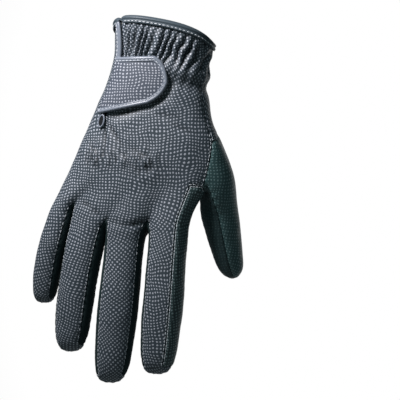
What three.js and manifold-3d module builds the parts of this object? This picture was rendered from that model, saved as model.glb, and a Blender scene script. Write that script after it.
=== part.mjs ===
// A riding glove for the right hand, hanging with its fingers down, as if a hand still filled it.
// Millimetres, +Z up out of the cuff, the back of the hand towards -Y and the thumb towards +X.
// The origin is the middle of the wrist opening. The leather panels all come from one smooth skin:
// a coarse cage of four-sided faces, laid round the hand from the section tables below, is
// subdivided once, each panel takes its own faces, and each becomes a thin wall with a hairline
// gap to its neighbours at the seams.
import * as THREE from "three";
import Module from "manifold-3d";

// Driving sizes of the hand
const HAND_LENGTH = 107; // cuff edge to the row of finger crotches
const KNUCKLE_WIDTH = 90;
const KNUCKLE_DEPTH = 28;
const CUFF_ARCH = 9; // how far the back of the cuff rises above its two ends
const CUFF_ARCH_PALM = 2;

// Driving sizes of the walls
const LEATHER = 1.2;
const GUSSET_CLOTH = 1.0;
const BINDING = 0.9;
const SEAM_GAP = 0.3;
const SEAM_INSET = SEAM_GAP * 0.65; // a little over half the gap, for seams that meet at an angle
const SHARPEST_SEAM = 0.25; // the least share of its width a seam in a fold is reckoned at
const TRIM_CLEARANCE = 0.22;
const SLIVER = 0.05; // trimming leaves no triangle narrower than about this
const PLEAT_DEPTH = 1.8; // from a ridge to a valley of the gathers under the cuff binding

// Driving sizes of the cuff binding, the tab that closes the wrist, and the loop that ends its slit
const BINDING_OUTSIDE = 3.3;
const BINDING_INSIDE = 2.6;
const TAB_LENGTH = 36.6;
const TAB_HEIGHT = 33.5;
const TAB_THICKNESS = 1.5;
const TAB_EDGING_WIDTH = 2.8;
const TAB_EDGING_THICKNESS = 2.1;
const TAB_TOP = 12.5; // below the middle of the wrist opening
const TAB_SETBACK = 2.2; // how far the tab starts on the palm side of the slit
const TAB_LIFT = 0.7; // clear of the gathers it lies on
const LOOP_LENGTH = 8.4;
const LOOP_WIDTH = 4.6;
const LOOP_THICKNESS = 1.1;
// The free side of the tab: down is a share of its height, out a share of its length, both from the
// top corner of its base.
const TAB_SIDE = [
  { down: -0.005, out: 0.66 },
  { down: 0.09, out: 0.765 },
  { down: 0.24, out: 0.83 },
  { down: 0.45, out: 0.86 },
  { down: 0.6, out: 0.8 },
  { down: 0.73, out: 0.69 },
  { down: 0.83, out: 0.53 },
];
const TAB_COLUMNS = 7;

// Driving sizes of the fingers, from their crotches to their tips
const FINGERS = [
  { name: "little", length: 62, width: 17.2, depth: 15.5, roll: 17 },
  { name: "ring", length: 87, width: 23.4, depth: 18.5, roll: 13 },
  { name: "middle", length: 99.5, width: 24, depth: 19.5, roll: -5 },
  { name: "index", length: 96, width: 24, depth: 19.5, roll: 0 },
];
// Where each finger starts and how it hangs. baseX is a share of the knuckle width; outer and inner,
// the heights of the crotches on its two sides, are shares of the hand length below the cuff; lean,
// bow and curl are shares of the finger's own length: sideways, sideways at mid-length, and forwards
// at the tip. seam is where the last column of the back starts, in shares of half the width.
const FINGER_HANG = [
  { baseX: -0.678, outer: 0.94, inner: 0.92, lean: -0.3, bow: -0.04, curl: 0.24, seam: 0.36 },
  { baseX: -0.492, outer: 0.92, inner: 1.03, lean: -0.215, bow: -0.022, curl: 0.17, seam: 0.36 },
  { baseX: -0.262, outer: 1.03, inner: 1.035, lean: -0.14, bow: 0.008, curl: 0.13, seam: 0.36 },
  { baseX: 0.04, outer: 1.035, inner: 0.985, lean: -0.12, bow: 0.004, curl: 0.12, seam: 0.66 },
];
// How every finger narrows from its crotch to its tip, as shares of its length, width and depth.
const FINGER_SECTIONS = [
  { along: 0.1, width: 0.93, depth: 1.0 },
  { along: 0.28, width: 0.96, depth: 0.98 },
  { along: 0.47, width: 1.0, depth: 1.0 },
  { along: 0.66, width: 0.97, depth: 0.92 },
  { along: 0.84, width: 0.92, depth: 0.86 },
  { along: 0.955, width: 0.7, depth: 0.66 },
];
const FINGER_ROOT = { along: 0, width: 1, depth: 1.06 }; // the section at the crotches
const FINGER_TIP = { along: 1.01, width: 0.46, depth: 0.36 };
const ROOT_SLOPE_FADE = 0.45; // by this share of its length a finger's sections are level
const CURL_POWER = 1.6; // above 1, a finger curls more towards its tip
const CROTCH_SWELL = 1.2; // a crotch's ends stand this much further out than the fingers' corners
const CROTCH_SLOPE = 0.065; // the web drops towards the palm by this share of the hand length
const ROOT_SLOPE = 0.7; // and the palm side of each finger's root by this share of the web's drop
const WEB_RISE = 1; // how far the middle of a crotch is arched up

// The hand from the cuff down to the knuckles. along is a share of the hand length; shift and half
// are shares of the knuckle width; back and palm are depths in shares of the knuckle depth; tilt is
// in degrees, thumb side down; slit and thumb are where the back panel ends, in shares of half.
const HAND_SECTIONS = [
  { along: 0.0, shift: 0.0, half: 0.348, back: 0.74, palm: 0.74, tilt: 10.6, slit: 0.75, thumb: 0.93 },
  { along: 0.076, shift: -0.01, half: 0.344, back: 0.7, palm: 0.72, tilt: 10.4, slit: 0.69, thumb: 0.93 },
  { along: 0.171, shift: -0.029, half: 0.33, back: 0.64, palm: 0.68, tilt: 10.4, slit: 0.66, thumb: 0.93 },
  { along: 0.294, shift: -0.044, half: 0.358, back: 0.62, palm: 0.7, tilt: 10.6, slit: 0.67, thumb: 0.93 },
  { along: 0.406, shift: -0.07, half: 0.402, back: 0.6, palm: 0.76, tilt: 9.0, slit: 0.69, thumb: 0.94 },
  { along: 0.529, shift: -0.082, half: 0.456, back: 0.58, palm: 0.8, tilt: 7.0, slit: 0.72, thumb: 0.95 },
  { along: 0.669, shift: -0.13, half: 0.486, back: 0.54, palm: 0.74, tilt: 4.2, slit: 0.88, thumb: 0.95 },
  { along: 0.812, shift: -0.193, half: 0.506, back: 0.48, palm: 0.6, tilt: 2.6, slit: 0.93, thumb: 0.95 },
];
// At the same sections: the slit's opening in millimetres, how deep the gathers are as a share of
// the pleat depth, and how far they have leaned over as a share of the panel's width.
const GATHERS = [
  { gape: 0.4, pleat: 0, slant: 0.02 },
  { gape: 0.4, pleat: 1, slant: 0.06 },
  { gape: 0.8, pleat: 0.6, slant: 0.11 },
  { gape: 2.0, pleat: 0, slant: 0.1 },
  { gape: 4.0, pleat: 0, slant: 0.06 },
  { gape: 0, pleat: 0, slant: 0.02 },
  { gape: 0, pleat: 0, slant: 0 },
  { gape: 0, pleat: 0, slant: 0 },
];
const SECTION_POWER = 2.4; // 2 is an ellipse, and more is squarer
const ARCH_FADE = 0.2; // the share of the hand length over which the cuff's arch fades out
const SLIT_SIDE_SPREAD = 0.03;
const KEYHOLE_ROW = 5; // the row of HAND_SECTIONS where the wrist slit ends
const THUMB_TOP_ROW = KEYHOLE_ROW; // the thumb's hole starts level with the end of the slit
const THUMB_BOTTOM_ROW = HAND_SECTIONS.length - 1;
// The thumb leaves the hand through a hole in its side. These are the points of the palm that its
// seam passes, from the crotch up to the wrist, by row and column of the cage, and how far each is
// moved to round the seam off: sideways is a share of the knuckle width, up of the hand length.
const THUMB_SEAM = [
  { row: 7, column: 12, sideways: 0, up: 0 },
  { row: 7, column: 11, sideways: 0.016, up: 0.028 },
  { row: 6, column: 11, sideways: -0.022, up: -0.065 },
  { row: 6, column: 10, sideways: -0.011, up: -0.047 },
  { row: 6, column: 9, sideways: 0.022, up: 0 },
  { row: 5, column: 9, sideways: 0.06, up: 0 },
  { row: 5, column: 10, sideways: 0.039, up: 0.028 },
  { row: 5, column: 11, sideways: 0.022, up: 0.056 },
  { row: 5, column: 12, sideways: 0, up: 0.06 },
];

// Driving sizes of the thumb, from the first whole section below its crotch to its tip
const THUMB_LENGTH = 45;
const THUMB_WIDTH = 25;
const THUMB_DEPTH = 23;
// along, side, and front place each section in shares of the thumb's length from its root; width
// and depth are shares of the thumb's own.
const THUMB_ROOT = { x: 0.327, y: 0.64, z: 0.972 }; // shares of knuckle width, knuckle depth, hand length
const THUMB_SECTIONS = [
  { along: 0.0, side: 0.0, front: 0.0, width: 1.02, depth: 1.04 },
  { along: 0.27, side: 0.045, front: 0.07, width: 1.0, depth: 0.96 },
  { along: 0.54, side: 0.08, front: 0.16, width: 0.92, depth: 0.84 },
  { along: 0.82, side: 0.135, front: 0.25, width: 0.76, depth: 0.64 },
];
const THUMB_TIP = { along: 0.97, side: 0.18, front: 0.31 };
const THUMB_BULGE = 4; // how far the ball of the thumb stands out between the hand and the root
const THUMB_GUSSET_COLUMNS = 4;
const THUMB_SEAM_ANGLE = -12; // degrees from the thumb's back edge to its first seam

// Columns of the cage across the back, and its place in a finger's ring of ten points
const FINGER_COLUMNS = 3;
const COLUMNS = FINGER_COLUMNS * FINGERS.length;
const SEAM_POINT = 2; // the ring's point where the last column of the back starts
const CAGE_SWELL = 1.06; // smoothing pulls a ring of ten points in by about this much
const RING = [
  { x: -0.86, y: -0.64 },
  { x: -0.36, y: -1.02 },
  { x: 0.36, y: -1.02 },
  { x: 0.86, y: -0.64 },
  { x: 1.05, y: 0.03 },
  { x: 0.86, y: 0.68 },
  { x: 0.36, y: 1.02 },
  { x: -0.36, y: 1.02 },
  { x: -0.86, y: 0.68 },
  { x: -1.05, y: 0.03 },
];

// The cage: points, and faces that each name the panel they belong to. A point's fold holds its
// column round the wrist and the share of the pleat depth it takes.
const points = [];
const folds = [];
const faces = [];
function addPoint(x, y, z, column = 0, pleat = 0) {
  folds.push(new THREE.Vector2(column, pleat));
  return points.push(new THREE.Vector3(x, y, z)) - 1;
}
const addFace = (panel, ...corners) => faces.push({ panel, corners });
const mean = (...list) => list.reduce((sum, p) => sum.add(p), new THREE.Vector3()).divideScalar(list.length);

const LAST_PALM_COLUMN = 2 * COLUMNS + 2;
const SLIT_SIDE_COLUMN = LAST_PALM_COLUMN + 2;

// One point of a hand section. across runs from -1 at the little finger's side to 1 at the thumb's.
function handPoint(r, across, side, column) {
  const section = HAND_SECTIONS[r];
  const half = section.half * KNUCKLE_WIDTH;
  const depth = (side < 0 ? section.back : section.palm) * KNUCKLE_DEPTH;
  const round = Math.max(0, 1 - Math.abs(across) ** SECTION_POWER) ** (1 / SECTION_POWER);
  const tilt = THREE.MathUtils.degToRad(section.tilt);
  const arch = (side < 0 ? CUFF_ARCH : CUFF_ARCH_PALM) * Math.max(0, 1 - section.along / ARCH_FADE) * round;
  return addPoint(
    section.shift * KNUCKLE_WIDTH + across * half * Math.cos(tilt),
    side * depth * round,
    -section.along * HAND_LENGTH - across * half * Math.sin(tilt) + arch,
    column,
    column > 0 && column <= LAST_PALM_COLUMN ? GATHERS[r].pleat : 0,
  );
}

// The tube of the hand: rows of back points, thumb-side points, palm points and little-side points.
// Down to the end of the wrist slit, the palm's edge has points of its own.
const PALM_ENDS = 0.9; // where the palm's columns end, in shares of half
const rows = HAND_SECTIONS.map((section, r) => {
  const { gape, slant } = GATHERS[r];
  const opening = gape / (section.half * KNUCKLE_WIDTH);
  const back = [];
  const palm = [];
  for (let c = 0; c <= COLUMNS; c++) {
    const share = c / COLUMNS;
    const leaned = share - slant * 4 * share * (1 - share);
    const across = THREE.MathUtils.lerp(-section.slit + opening / 2, section.thumb, leaned);
    back.push(handPoint(r, across, -1, c));
    const palmAcross = THREE.MathUtils.lerp(-PALM_ENDS, PALM_ENDS, share);
    palm.push(handPoint(r, palmAcross, 1, LAST_PALM_COLUMN - c));
  }
  const thumbSide = handPoint(r, 1, 1, COLUMNS + 1);
  const littleSide = handPoint(r, -1, 1, LAST_PALM_COLUMN + 1);
  if (r > KEYHOLE_ROW) return { back, palm, thumbSide, littleSide, slitEdge: back[0] };
  const slitSide = handPoint(r, -(1 + section.slit) / 2 - SLIT_SIDE_SPREAD, -1, SLIT_SIDE_COLUMN);
  const slitAcross = -section.slit - opening / 2;
  const slitEdge = r < KEYHOLE_ROW ? handPoint(r, slitAcross, -1, SLIT_SIDE_COLUMN + 1) : back[0];
  return { back, palm, thumbSide, littleSide, slitEdge, slitSide };
});

// A finger's ring of ten points at a share of its length. At the crotch the ring slopes from one
// crotch height to the other, and the slope fades out along the finger.
function fingerRing(f, section) {
  const { length, width, depth, roll } = FINGERS[f];
  const hang = FINGER_HANG[f];
  const t = section.along;
  const top = -((hang.outer + hang.inner) / 2) * HAND_LENGTH;
  const slope = ((hang.outer - hang.inner) / 2) * HAND_LENGTH * Math.max(0, 1 - t / ROOT_SLOPE_FADE);
  const turn = THREE.MathUtils.degToRad(roll);
  const x0 = hang.baseX * KNUCKLE_WIDTH + length * (hang.lean * t + hang.bow * 4 * t * (1 - t));
  const y0 = length * hang.curl * t ** CURL_POWER;
  return RING.map(({ x, y }, i) => {
    const u = ((i === SEAM_POINT ? hang.seam : x) * section.width * width * CAGE_SWELL) / 2;
    const v = (y * section.depth * depth * CAGE_SWELL) / 2;
    return new THREE.Vector3(
      x0 + u * Math.cos(turn) + v * Math.sin(turn),
      y0 + v * Math.cos(turn) - u * Math.sin(turn),
      top - length * t + slope * x,
    );
  });
}

// The crotch row: each finger's first ring, with the points between two fingers shared
const crotchRings = FINGERS.map((_, f) => fingerRing(f, FINGER_ROOT));
const crotch = { back: [], palm: [], web: [] };
const addVector = (v) => addPoint(v.x, v.y, v.z);
FINGERS.forEach((finger, f) => {
  const ring = crotchRings[f];
  const before = crotchRings[f - 1];
  if (f === 0) {
    crotch.back.push(addVector(ring[0]));
    crotch.palm.push(addVector(ring[8]));
    crotch.web.push(addVector(ring[9]));
  } else {
    const backPoint = mean(before[3], ring[0]);
    const palmPoint = mean(before[5], ring[8]);
    backPoint.y *= CROTCH_SWELL;
    palmPoint.y *= CROTCH_SWELL;
    palmPoint.z -= CROTCH_SLOPE * HAND_LENGTH;
    crotch.back.push(addVector(backPoint));
    crotch.palm.push(addVector(palmPoint));
    crotch.web.push(addVector(mean(backPoint, palmPoint).add(new THREE.Vector3(0, 0, WEB_RISE))));
  }
  crotch.back.push(addVector(ring[1]), addVector(ring[2]));
  const palmDrop = new THREE.Vector3(0, 0, -CROTCH_SLOPE * HAND_LENGTH * ROOT_SLOPE);
  crotch.palm.push(addVector(ring[7].clone().add(palmDrop)), addVector(ring[6].clone().add(palmDrop)));
});
const lastRing = crotchRings.at(-1);
crotch.back.push(addVector(lastRing[3]));
crotch.palm.push(addVector(lastRing[5]));
crotch.web.push(addVector(lastRing[4]));
rows.push({
  back: crotch.back,
  palm: crotch.palm,
  slitEdge: crotch.back[0],
  littleSide: crotch.web[0],
  thumbSide: crotch.web.at(-1),
});

// Which panel a face of the hand's tube belongs to
const SIDE_COLUMN = COLUMNS - 1; // below the thumb, the side panel takes the last column of the back
const isBesideThumb = (r) => r >= THUMB_TOP_ROW && r < THUMB_BOTTOM_ROW;
function inThumbHole(r, c) {
  const columns = THUMB_SEAM.filter(({ row }) => row === r + 1).map(({ column }) => column);
  return isBesideThumb(r) && c >= Math.min(...columns);
}
for (let r = 0; r + 1 < rows.length; r++) {
  const a = rows[r];
  const b = rows[r + 1];
  for (let c = 0; c < COLUMNS; c++) {
    const isSidePanel = r >= THUMB_BOTTOM_ROW && c >= SIDE_COLUMN;
    addFace(isSidePanel ? "index_side_panel" : "back_panel", a.back[c], b.back[c], b.back[c + 1], a.back[c + 1]);
    if (inThumbHole(r, c)) continue;
    addFace("palm_panel", a.palm[c + 1], b.palm[c + 1], b.palm[c], a.palm[c]);
  }
  addFace("palm_panel", a.palm[0], b.palm[0], b.littleSide, a.littleSide);
  if (r < KEYHOLE_ROW) {
    addFace("palm_panel", a.littleSide, b.littleSide, b.slitSide, a.slitSide);
    addFace("palm_panel", a.slitSide, b.slitSide, b.slitEdge, a.slitEdge);
  } else if (r === KEYHOLE_ROW) {
    addFace("palm_panel", a.littleSide, b.littleSide, b.slitEdge, a.slitSide);
    addFace("palm_panel", a.slitSide, b.slitEdge, a.slitEdge);
  } else {
    addFace("palm_panel", a.littleSide, b.littleSide, b.slitEdge, a.slitEdge);
  }
  if (isBesideThumb(r)) continue;
  const sidePanel = r >= THUMB_BOTTOM_ROW ? "index_side_panel" : "palm_panel";
  addFace(sidePanel, a.back[COLUMNS], b.back[COLUMNS], b.thumbSide, a.thumbSide);
  addFace(sidePanel, a.thumbSide, b.thumbSide, b.palm[COLUMNS], a.palm[COLUMNS]);
}

// The fingers: rings joined by faces, closed at the tip
const gussetNames = ["gusset_ring_little", "gusset_middle_ring", "gusset_index_middle"];
FINGERS.forEach((finger, f) => {
  const c = f * FINGER_COLUMNS;
  const thumbward = f < FINGERS.length - 1 ? gussetNames[f] : "index_side_panel";
  const littleward = f > 0 ? gussetNames[f - 1] : "palm_panel";
  const isIndex = f === FINGERS.length - 1;
  // Panel of each of the ten faces round the finger, from the back's first column on
  const panels = [
    "back_panel",
    "back_panel",
    isIndex ? "index_side_panel" : "back_panel",
    thumbward,
    thumbward,
    "palm_panel",
    "palm_panel",
    "palm_panel",
    littleward,
    littleward,
  ];
  const { back, palm, web } = crotch;
  let above = [
    ...back.slice(c, c + 4),
    web[f + 1],
    ...palm.slice(c, c + 4).reverse(),
    web[f],
  ];
  for (const section of FINGER_SECTIONS) {
    const ring = fingerRing(f, section).map(addVector);
    panels.forEach((panel, i) => {
      const j = (i + 1) % RING.length;
      addFace(panel, above[i], ring[i], ring[j], above[j]);
    });
    above = ring;
  }
  const tip = fingerRing(f, FINGER_TIP);
  const middle = [mean(tip[0], tip[8]), mean(tip[3], tip[5])].map(addVector);
  const [b0, b1, b2, b3, right, p3, p2, p1, p0, left] = above;
  const [m1, m2] = middle;
  addFace("back_panel", b0, left, m1, b1);
  addFace("back_panel", b1, m1, m2, b2);
  addFace("back_panel", b2, m2, right, b3);
  addFace("palm_panel", left, p0, p1, m1);
  addFace("palm_panel", m1, p1, p2, m2);
  addFace("palm_panel", m2, p2, p3, right);
});

// The thumb: its points round, starting at the thumb crotch and going by the palm
const thumbTop = rows[THUMB_TOP_ROW];
const thumbBottom = rows[THUMB_BOTTOM_ROW];
const hole = [
  thumbBottom.back[COLUMNS],
  thumbBottom.thumbSide,
  ...THUMB_SEAM.map(({ row, column }) => rows[row].palm[column]),
  thumbTop.thumbSide,
  thumbTop.back[COLUMNS],
  ...rows.slice(THUMB_TOP_ROW + 1, THUMB_BOTTOM_ROW).map((row) => row.back[COLUMNS]),
];
for (const { row, column, sideways, up } of THUMB_SEAM) {
  const point = points[rows[row].palm[column]];
  point.x += sideways * KNUCKLE_WIDTH;
  point.z += up * HAND_LENGTH;
}
const thumbRoot = new THREE.Vector3(
  THUMB_ROOT.x * KNUCKLE_WIDTH,
  THUMB_ROOT.y * KNUCKLE_DEPTH,
  -THUMB_ROOT.z * HAND_LENGTH,
);
const thumbPlace = ({ along, side, front }) =>
  new THREE.Vector3(side, front, -along).multiplyScalar(THUMB_LENGTH).add(thumbRoot);
const thumbAxis = thumbPlace(THUMB_TIP).sub(thumbRoot).normalize();
const thumbOut = new THREE.Vector3(1, 0, 0).addScaledVector(thumbAxis, -thumbAxis.x).normalize();
const thumbBack = new THREE.Vector3().crossVectors(thumbAxis, thumbOut).normalize();
function thumbRing(section) {
  const centre = thumbPlace(section);
  return hole.map((_, j) => {
    const angle = THREE.MathUtils.degToRad(THUMB_SEAM_ANGLE) + (j / hole.length) * 2 * Math.PI;
    return centre
      .clone()
      .addScaledVector(thumbBack, (Math.cos(angle) * section.width * THUMB_WIDTH) / 2)
      .addScaledVector(thumbOut, (-Math.sin(angle) * section.depth * THUMB_DEPTH) / 2);
  });
}
const firstRing = thumbRing(THUMB_SECTIONS[0]);
const thumbRings = [1 / 3, 2 / 3].map((share) =>
  hole.map((index, j) => {
    const away = firstRing[j].clone().sub(thumbRoot).normalize();
    return points[index]
      .clone()
      .lerp(firstRing[j], share)
      .addScaledVector(away, THUMB_BULGE * Math.sin(share * Math.PI) * Math.max(0, away.x));
  }),
);
thumbRings.push(...THUMB_SECTIONS.map(thumbRing));
const thumbPanel = (j) => (j < THUMB_GUSSET_COLUMNS ? "thumb_gusset" : "thumb_panel");
let above = hole;
for (const ringPoints of thumbRings) {
  const ring = ringPoints.map(addVector);
  ring.forEach((_, i) => {
    const j = (i + 1) % ring.length;
    addFace(thumbPanel(i), above[j], ring[j], ring[i], above[i]);
  });
  above = ring;
}
// The thumb's tip is a fan of faces round one point
const tipPoint = addVector(thumbPlace(THUMB_TIP));
for (let i = 0; i < above.length; i += 2) {
  addFace(thumbPanel(i), above[i + 1], above[(i + 2) % above.length], tipPoint, above[i]);
}

// One step of Catmull and Clark's subdivision. An open edge stays a smooth curve of its own.
function subdivide(mesh) {
  const facePoints = mesh.faces.map(({ corners }) => mean(...corners.map((i) => mesh.points[i])));
  const edges = new Map();
  const around = mesh.points.map(() => ({ faces: [], edges: [] }));
  const edgeOf = (a, b) => {
    const key = a < b ? `${a}_${b}` : `${b}_${a}`;
    if (!edges.has(key)) {
      const edge = { a, b, faces: [] };
      edges.set(key, edge);
      around[a].edges.push(edge);
      around[b].edges.push(edge);
    }
    return edges.get(key);
  };
  mesh.faces.forEach(({ corners }, f) =>
    corners.forEach((corner, i) => {
      around[corner].faces.push(f);
      edgeOf(corner, corners[(i + 1) % corners.length]).faces.push(f);
    }),
  );
  const made = { points: [], folds: mesh.folds.map((fold) => fold.clone()), faces: [] };
  function meanFold(list) {
    return list.reduce((sum, i) => sum.add(mesh.folds[i]), new THREE.Vector2()).divideScalar(list.length);
  }
  const middleOf = (edge) => mean(mesh.points[edge.a], mesh.points[edge.b]);
  mesh.points.forEach((point, i) => {
    const open = around[i].edges.filter((edge) => edge.faces.length === 1);
    if (open.length) {
      made.points.push(mean(point, mean(...open.map(middleOf))));
      return;
    }
    const n = around[i].edges.length;
    const moved = mean(...around[i].faces.map((f) => facePoints[f]));
    moved.addScaledVector(mean(...around[i].edges.map(middleOf)), 2).addScaledVector(point, n - 3);
    made.points.push(moved.divideScalar(n));
  });
  const firstFace = made.points.length;
  made.points.push(...facePoints);
  made.folds.push(...mesh.faces.map(({ corners }) => meanFold(corners)));
  for (const edge of edges.values()) {
    const ends = [mesh.points[edge.a], mesh.points[edge.b]];
    const sides = edge.faces.length === 2 ? edge.faces.map((f) => facePoints[f]) : [];
    edge.index = made.points.push(mean(...ends, ...sides)) - 1;
    made.folds.push(meanFold([edge.a, edge.b]));
  }
  mesh.faces.forEach(({ panel, corners }, f) =>
    corners.forEach((corner, i) => {
      const next = edgeOf(corner, corners[(i + 1) % corners.length]).index;
      const last = edgeOf(corner, corners[(i + corners.length - 1) % corners.length]).index;
      made.faces.push({ panel, corners: [corner, next, firstFace + f, last] });
    }),
  );
  return made;
}

const skin = subdivide({ points, folds, faces });

// Outward direction at each point of the skin: every face counts by the angle it has there
function normalsOf(mesh) {
  const normals = mesh.points.map(() => new THREE.Vector3());
  for (const { corners } of mesh.faces) {
    const [a, b, c, d] = corners.map((i) => mesh.points[i]);
    const normal = new THREE.Vector3().crossVectors(c.clone().sub(a), d.clone().sub(b)).normalize();
    corners.forEach((i, k) => {
      const ahead = mesh.points[corners[(k + 1) % 4]].clone().sub(mesh.points[i]);
      const behind = mesh.points[corners[(k + 3) % 4]].clone().sub(mesh.points[i]);
      normals[i].addScaledVector(normal, ahead.angleTo(behind));
    });
  }
  return normals.map((n) => n.normalize());
}
const smoothPoints = skin.points.map((p) => p.clone());
const smoothNormals = normalsOf(skin);

// Gather the cuff: every other column of the skin stands out and the ones between sink in
skin.points.forEach((point, i) => {
  const { x: column, y: pleat } = skin.folds[i];
  const lift = (Math.cos(2 * Math.PI * column) * pleat ** 2 * PLEAT_DEPTH) / 2;
  point.addScaledVector(smoothNormals[i], lift);
});
const skinNormals = normalsOf(skin);

const glove = new THREE.Group();
const FINISHES = {
  leather: { color: 0x4d565c, roughness: 0.55, metalness: 0 },
  gusset: { color: 0x14191a, roughness: 0.8, metalness: 0 },
  binding: { color: 0x9aa0a8, roughness: 0.4, metalness: 0 },
};
function addPiece(name, finish, geometry) {
  const mesh = new THREE.Mesh(geometry, new THREE.MeshStandardMaterial(FINISHES[finish]));
  mesh.name = name;
  glove.add(mesh);
}

// The open edges of a set of faces, each running with the faces on its left
function rimOf(ownFaces) {
  const edges = new Map();
  for (const { corners } of ownFaces) {
    corners.forEach((i, k) => {
      const j = corners[(k + 1) % corners.length];
      edges.set(`${i}_${j}`, [i, j]);
    });
  }
  return [...edges.values()].filter(([i, j]) => !edges.has(`${j}_${i}`));
}

// For every point on a rim, the direction in the surface that leads away from the rim
function inwardsOf(rim) {
  const inwards = new Map();
  for (const [i, j] of rim) {
    const along = skin.points[j].clone().sub(skin.points[i]);
    const normal = skinNormals[i].clone().add(skinNormals[j]);
    const inward = new THREE.Vector3().crossVectors(normal, along).normalize();
    for (const end of [i, j]) {
      inwards.set(end, (inwards.get(end) ?? new THREE.Vector3()).add(inward));
    }
  }
  inwards.forEach((v) => v.normalize());
  return inwards;
}

// A set of the skin's faces as a closed wall: an outer face, an inner face and a rim. lift raises
// the whole wall above the skin. Where a seam lies in a fold, the wall stops further from it, and
// in a valley each wall keeps square to its own side.
function wallGeometry(ownFaces, wall, lift = 0) {
  const rim = rimOf(ownFaces);
  const inwards = inwardsOf(rim);
  const used = [...new Set(ownFaces.flatMap((face) => face.corners))];
  const ownNormals = new Map(used.map((i) => [i, new THREE.Vector3()]));
  for (const { corners } of ownFaces) {
    const [a, b, c, d] = corners.map((i) => skin.points[i]);
    const normal = new THREE.Vector3().crossVectors(c.clone().sub(a), d.clone().sub(b)).normalize();
    corners.forEach((i) => ownNormals.get(i).add(normal));
  }
  ownNormals.forEach((normal) => normal.normalize());
  const order = new Map(used.map((i, n) => [i, n]));
  const n = used.length;
  const outer = used.map((i) => {
    const point = skin.points[i].clone().addScaledVector(skinNormals[i], lift);
    if (!inwards.has(i)) return point;
    const facing = Math.max(SHARPEST_SEAM, ownNormals.get(i).dot(skinNormals[i]));
    return point.addScaledVector(inwards.get(i), SEAM_INSET / facing);
  });
  const inner = used.map((i, k) => {
    const isValley = inwards.has(i) && ownNormals.get(i).dot(inwards.get(i)) < 0;
    return outer[k].clone().addScaledVector(isValley ? ownNormals.get(i) : skinNormals[i], -wall);
  });
  const triangles = [];
  const quad = (a, b, c, d) => triangles.push(a, b, c, a, c, d);
  for (const { corners } of ownFaces) {
    const [a, b, c, d] = corners.map((i) => order.get(i));
    quad(a, b, c, d);
    quad(n + d, n + c, n + b, n + a);
  }
  for (const [i, j] of rim) quad(order.get(j), order.get(i), n + order.get(i), n + order.get(j));
  return new THREE.BufferGeometry().setFromPoints([...outer, ...inner]).setIndex(triangles);
}

const facesOf = (panel) => skin.faces.filter((face) => face.panel === panel);
const panelGeometry = (panel, wall) => wallGeometry(facesOf(panel), wall);

// Where a seam turns sharply, a panel is trimmed clear of its neighbours
const wasm = await Module();
wasm.setup();
function solidOf(geometry) {
  const vertProperties = new Float32Array(geometry.attributes.position.array);
  const triVerts = new Uint32Array(geometry.index.array);
  return new wasm.Manifold(new wasm.Mesh({ numProp: 3, vertProperties, triVerts }));
}
const TRIM_SHIFTS = [-1, 1].flatMap((way) => [
  [way * TRIM_CLEARANCE, 0, 0],
  [0, way * TRIM_CLEARANCE, 0],
  [0, 0, way * TRIM_CLEARANCE],
]);
function trimmedSolid(panel, wall, neighbours) {
  let solid = solidOf(panelGeometry(panel, wall));
  for (const neighbour of neighbours) {
    for (const shift of TRIM_SHIFTS) {
      solid = solid.subtract(neighbour.translate(shift)).asOriginal().simplify(SLIVER);
    }
  }
  return solid.decompose().sort((a, b) => b.volume() - a.volume())[0];
}
function geometryOf(solid) {
  const { vertProperties, triVerts } = solid.getMesh();
  const geometry = new THREE.BufferGeometry();
  geometry.setAttribute("position", new THREE.BufferAttribute(new Float32Array(vertProperties), 3));
  return geometry.setIndex([...triVerts]);
}

// A closed profile carried along a path. Each station turns a profile point into a place, and a
// path that doesn't close on itself gets a cap at each end.
function sweep(stations, shape, isLoop = false) {
  const profile = THREE.ShapeUtils.isClockWise(shape) ? [...shape].reverse() : shape;
  const places = stations.flatMap((station) => profile.map((p) => station(p.x, p.y)));
  const count = profile.length;
  const spans = isLoop ? stations.length : stations.length - 1;
  const triangles = [];
  for (let k = 0; k < spans; k++) {
    const here = k * count;
    const there = ((k + 1) % stations.length) * count;
    for (let i = 0; i < count; i++) {
      const j = (i + 1) % count;
      triangles.push(here + i, there + i, there + j, here + i, there + j, here + j);
    }
  }
  if (!isLoop) {
    const last = (stations.length - 1) * count;
    for (const [a, b, c] of THREE.ShapeUtils.triangulateShape(profile, [])) {
      triangles.push(a, b, c, last + c, last + b, last + a);
    }
  }
  return faceOut(new THREE.BufferGeometry().setFromPoints(places).setIndex(triangles));
}

// Turn a closed mesh round if its faces point in
function faceOut(geometry) {
  const index = geometry.index.array;
  const corner = (i) => new THREE.Vector3().fromBufferAttribute(geometry.attributes.position, index[i]);
  let volume = 0;
  for (let t = 0; t < index.length; t += 3) volume += corner(t).dot(corner(t + 1).cross(corner(t + 2)));
  if (volume < 0) geometry.setIndex([...index].reverse());
  return geometry;
}

// The hand: its back, its palm with the little finger's side, and the side of the index finger
const hand = ["back_panel", "palm_panel"].map((name) => {
  const geometry = panelGeometry(name, LEATHER);
  addPiece(name, "leather", geometry);
  return solidOf(geometry);
});
const indexSide = trimmedSolid("index_side_panel", LEATHER, hand);
addPiece("index_side_panel", "leather", geometryOf(indexSide));

// The thumb: a leather piece over its back, outside and ball, and a cloth one facing the fingers
const thumb = trimmedSolid("thumb_panel", LEATHER, [...hand, indexSide]);
addPiece("thumb_panel", "leather", geometryOf(thumb));
const thumbGusset = trimmedSolid("thumb_gusset", GUSSET_CLOTH, [...hand, indexSide, thumb]);
addPiece("thumb_gusset", "gusset", geometryOf(thumbGusset));

// Cloth gussets between the fingers
for (const name of gussetNames) {
  addPiece(name, "gusset", geometryOf(trimmedSolid(name, GUSSET_CLOTH, hand)));
}

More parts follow.
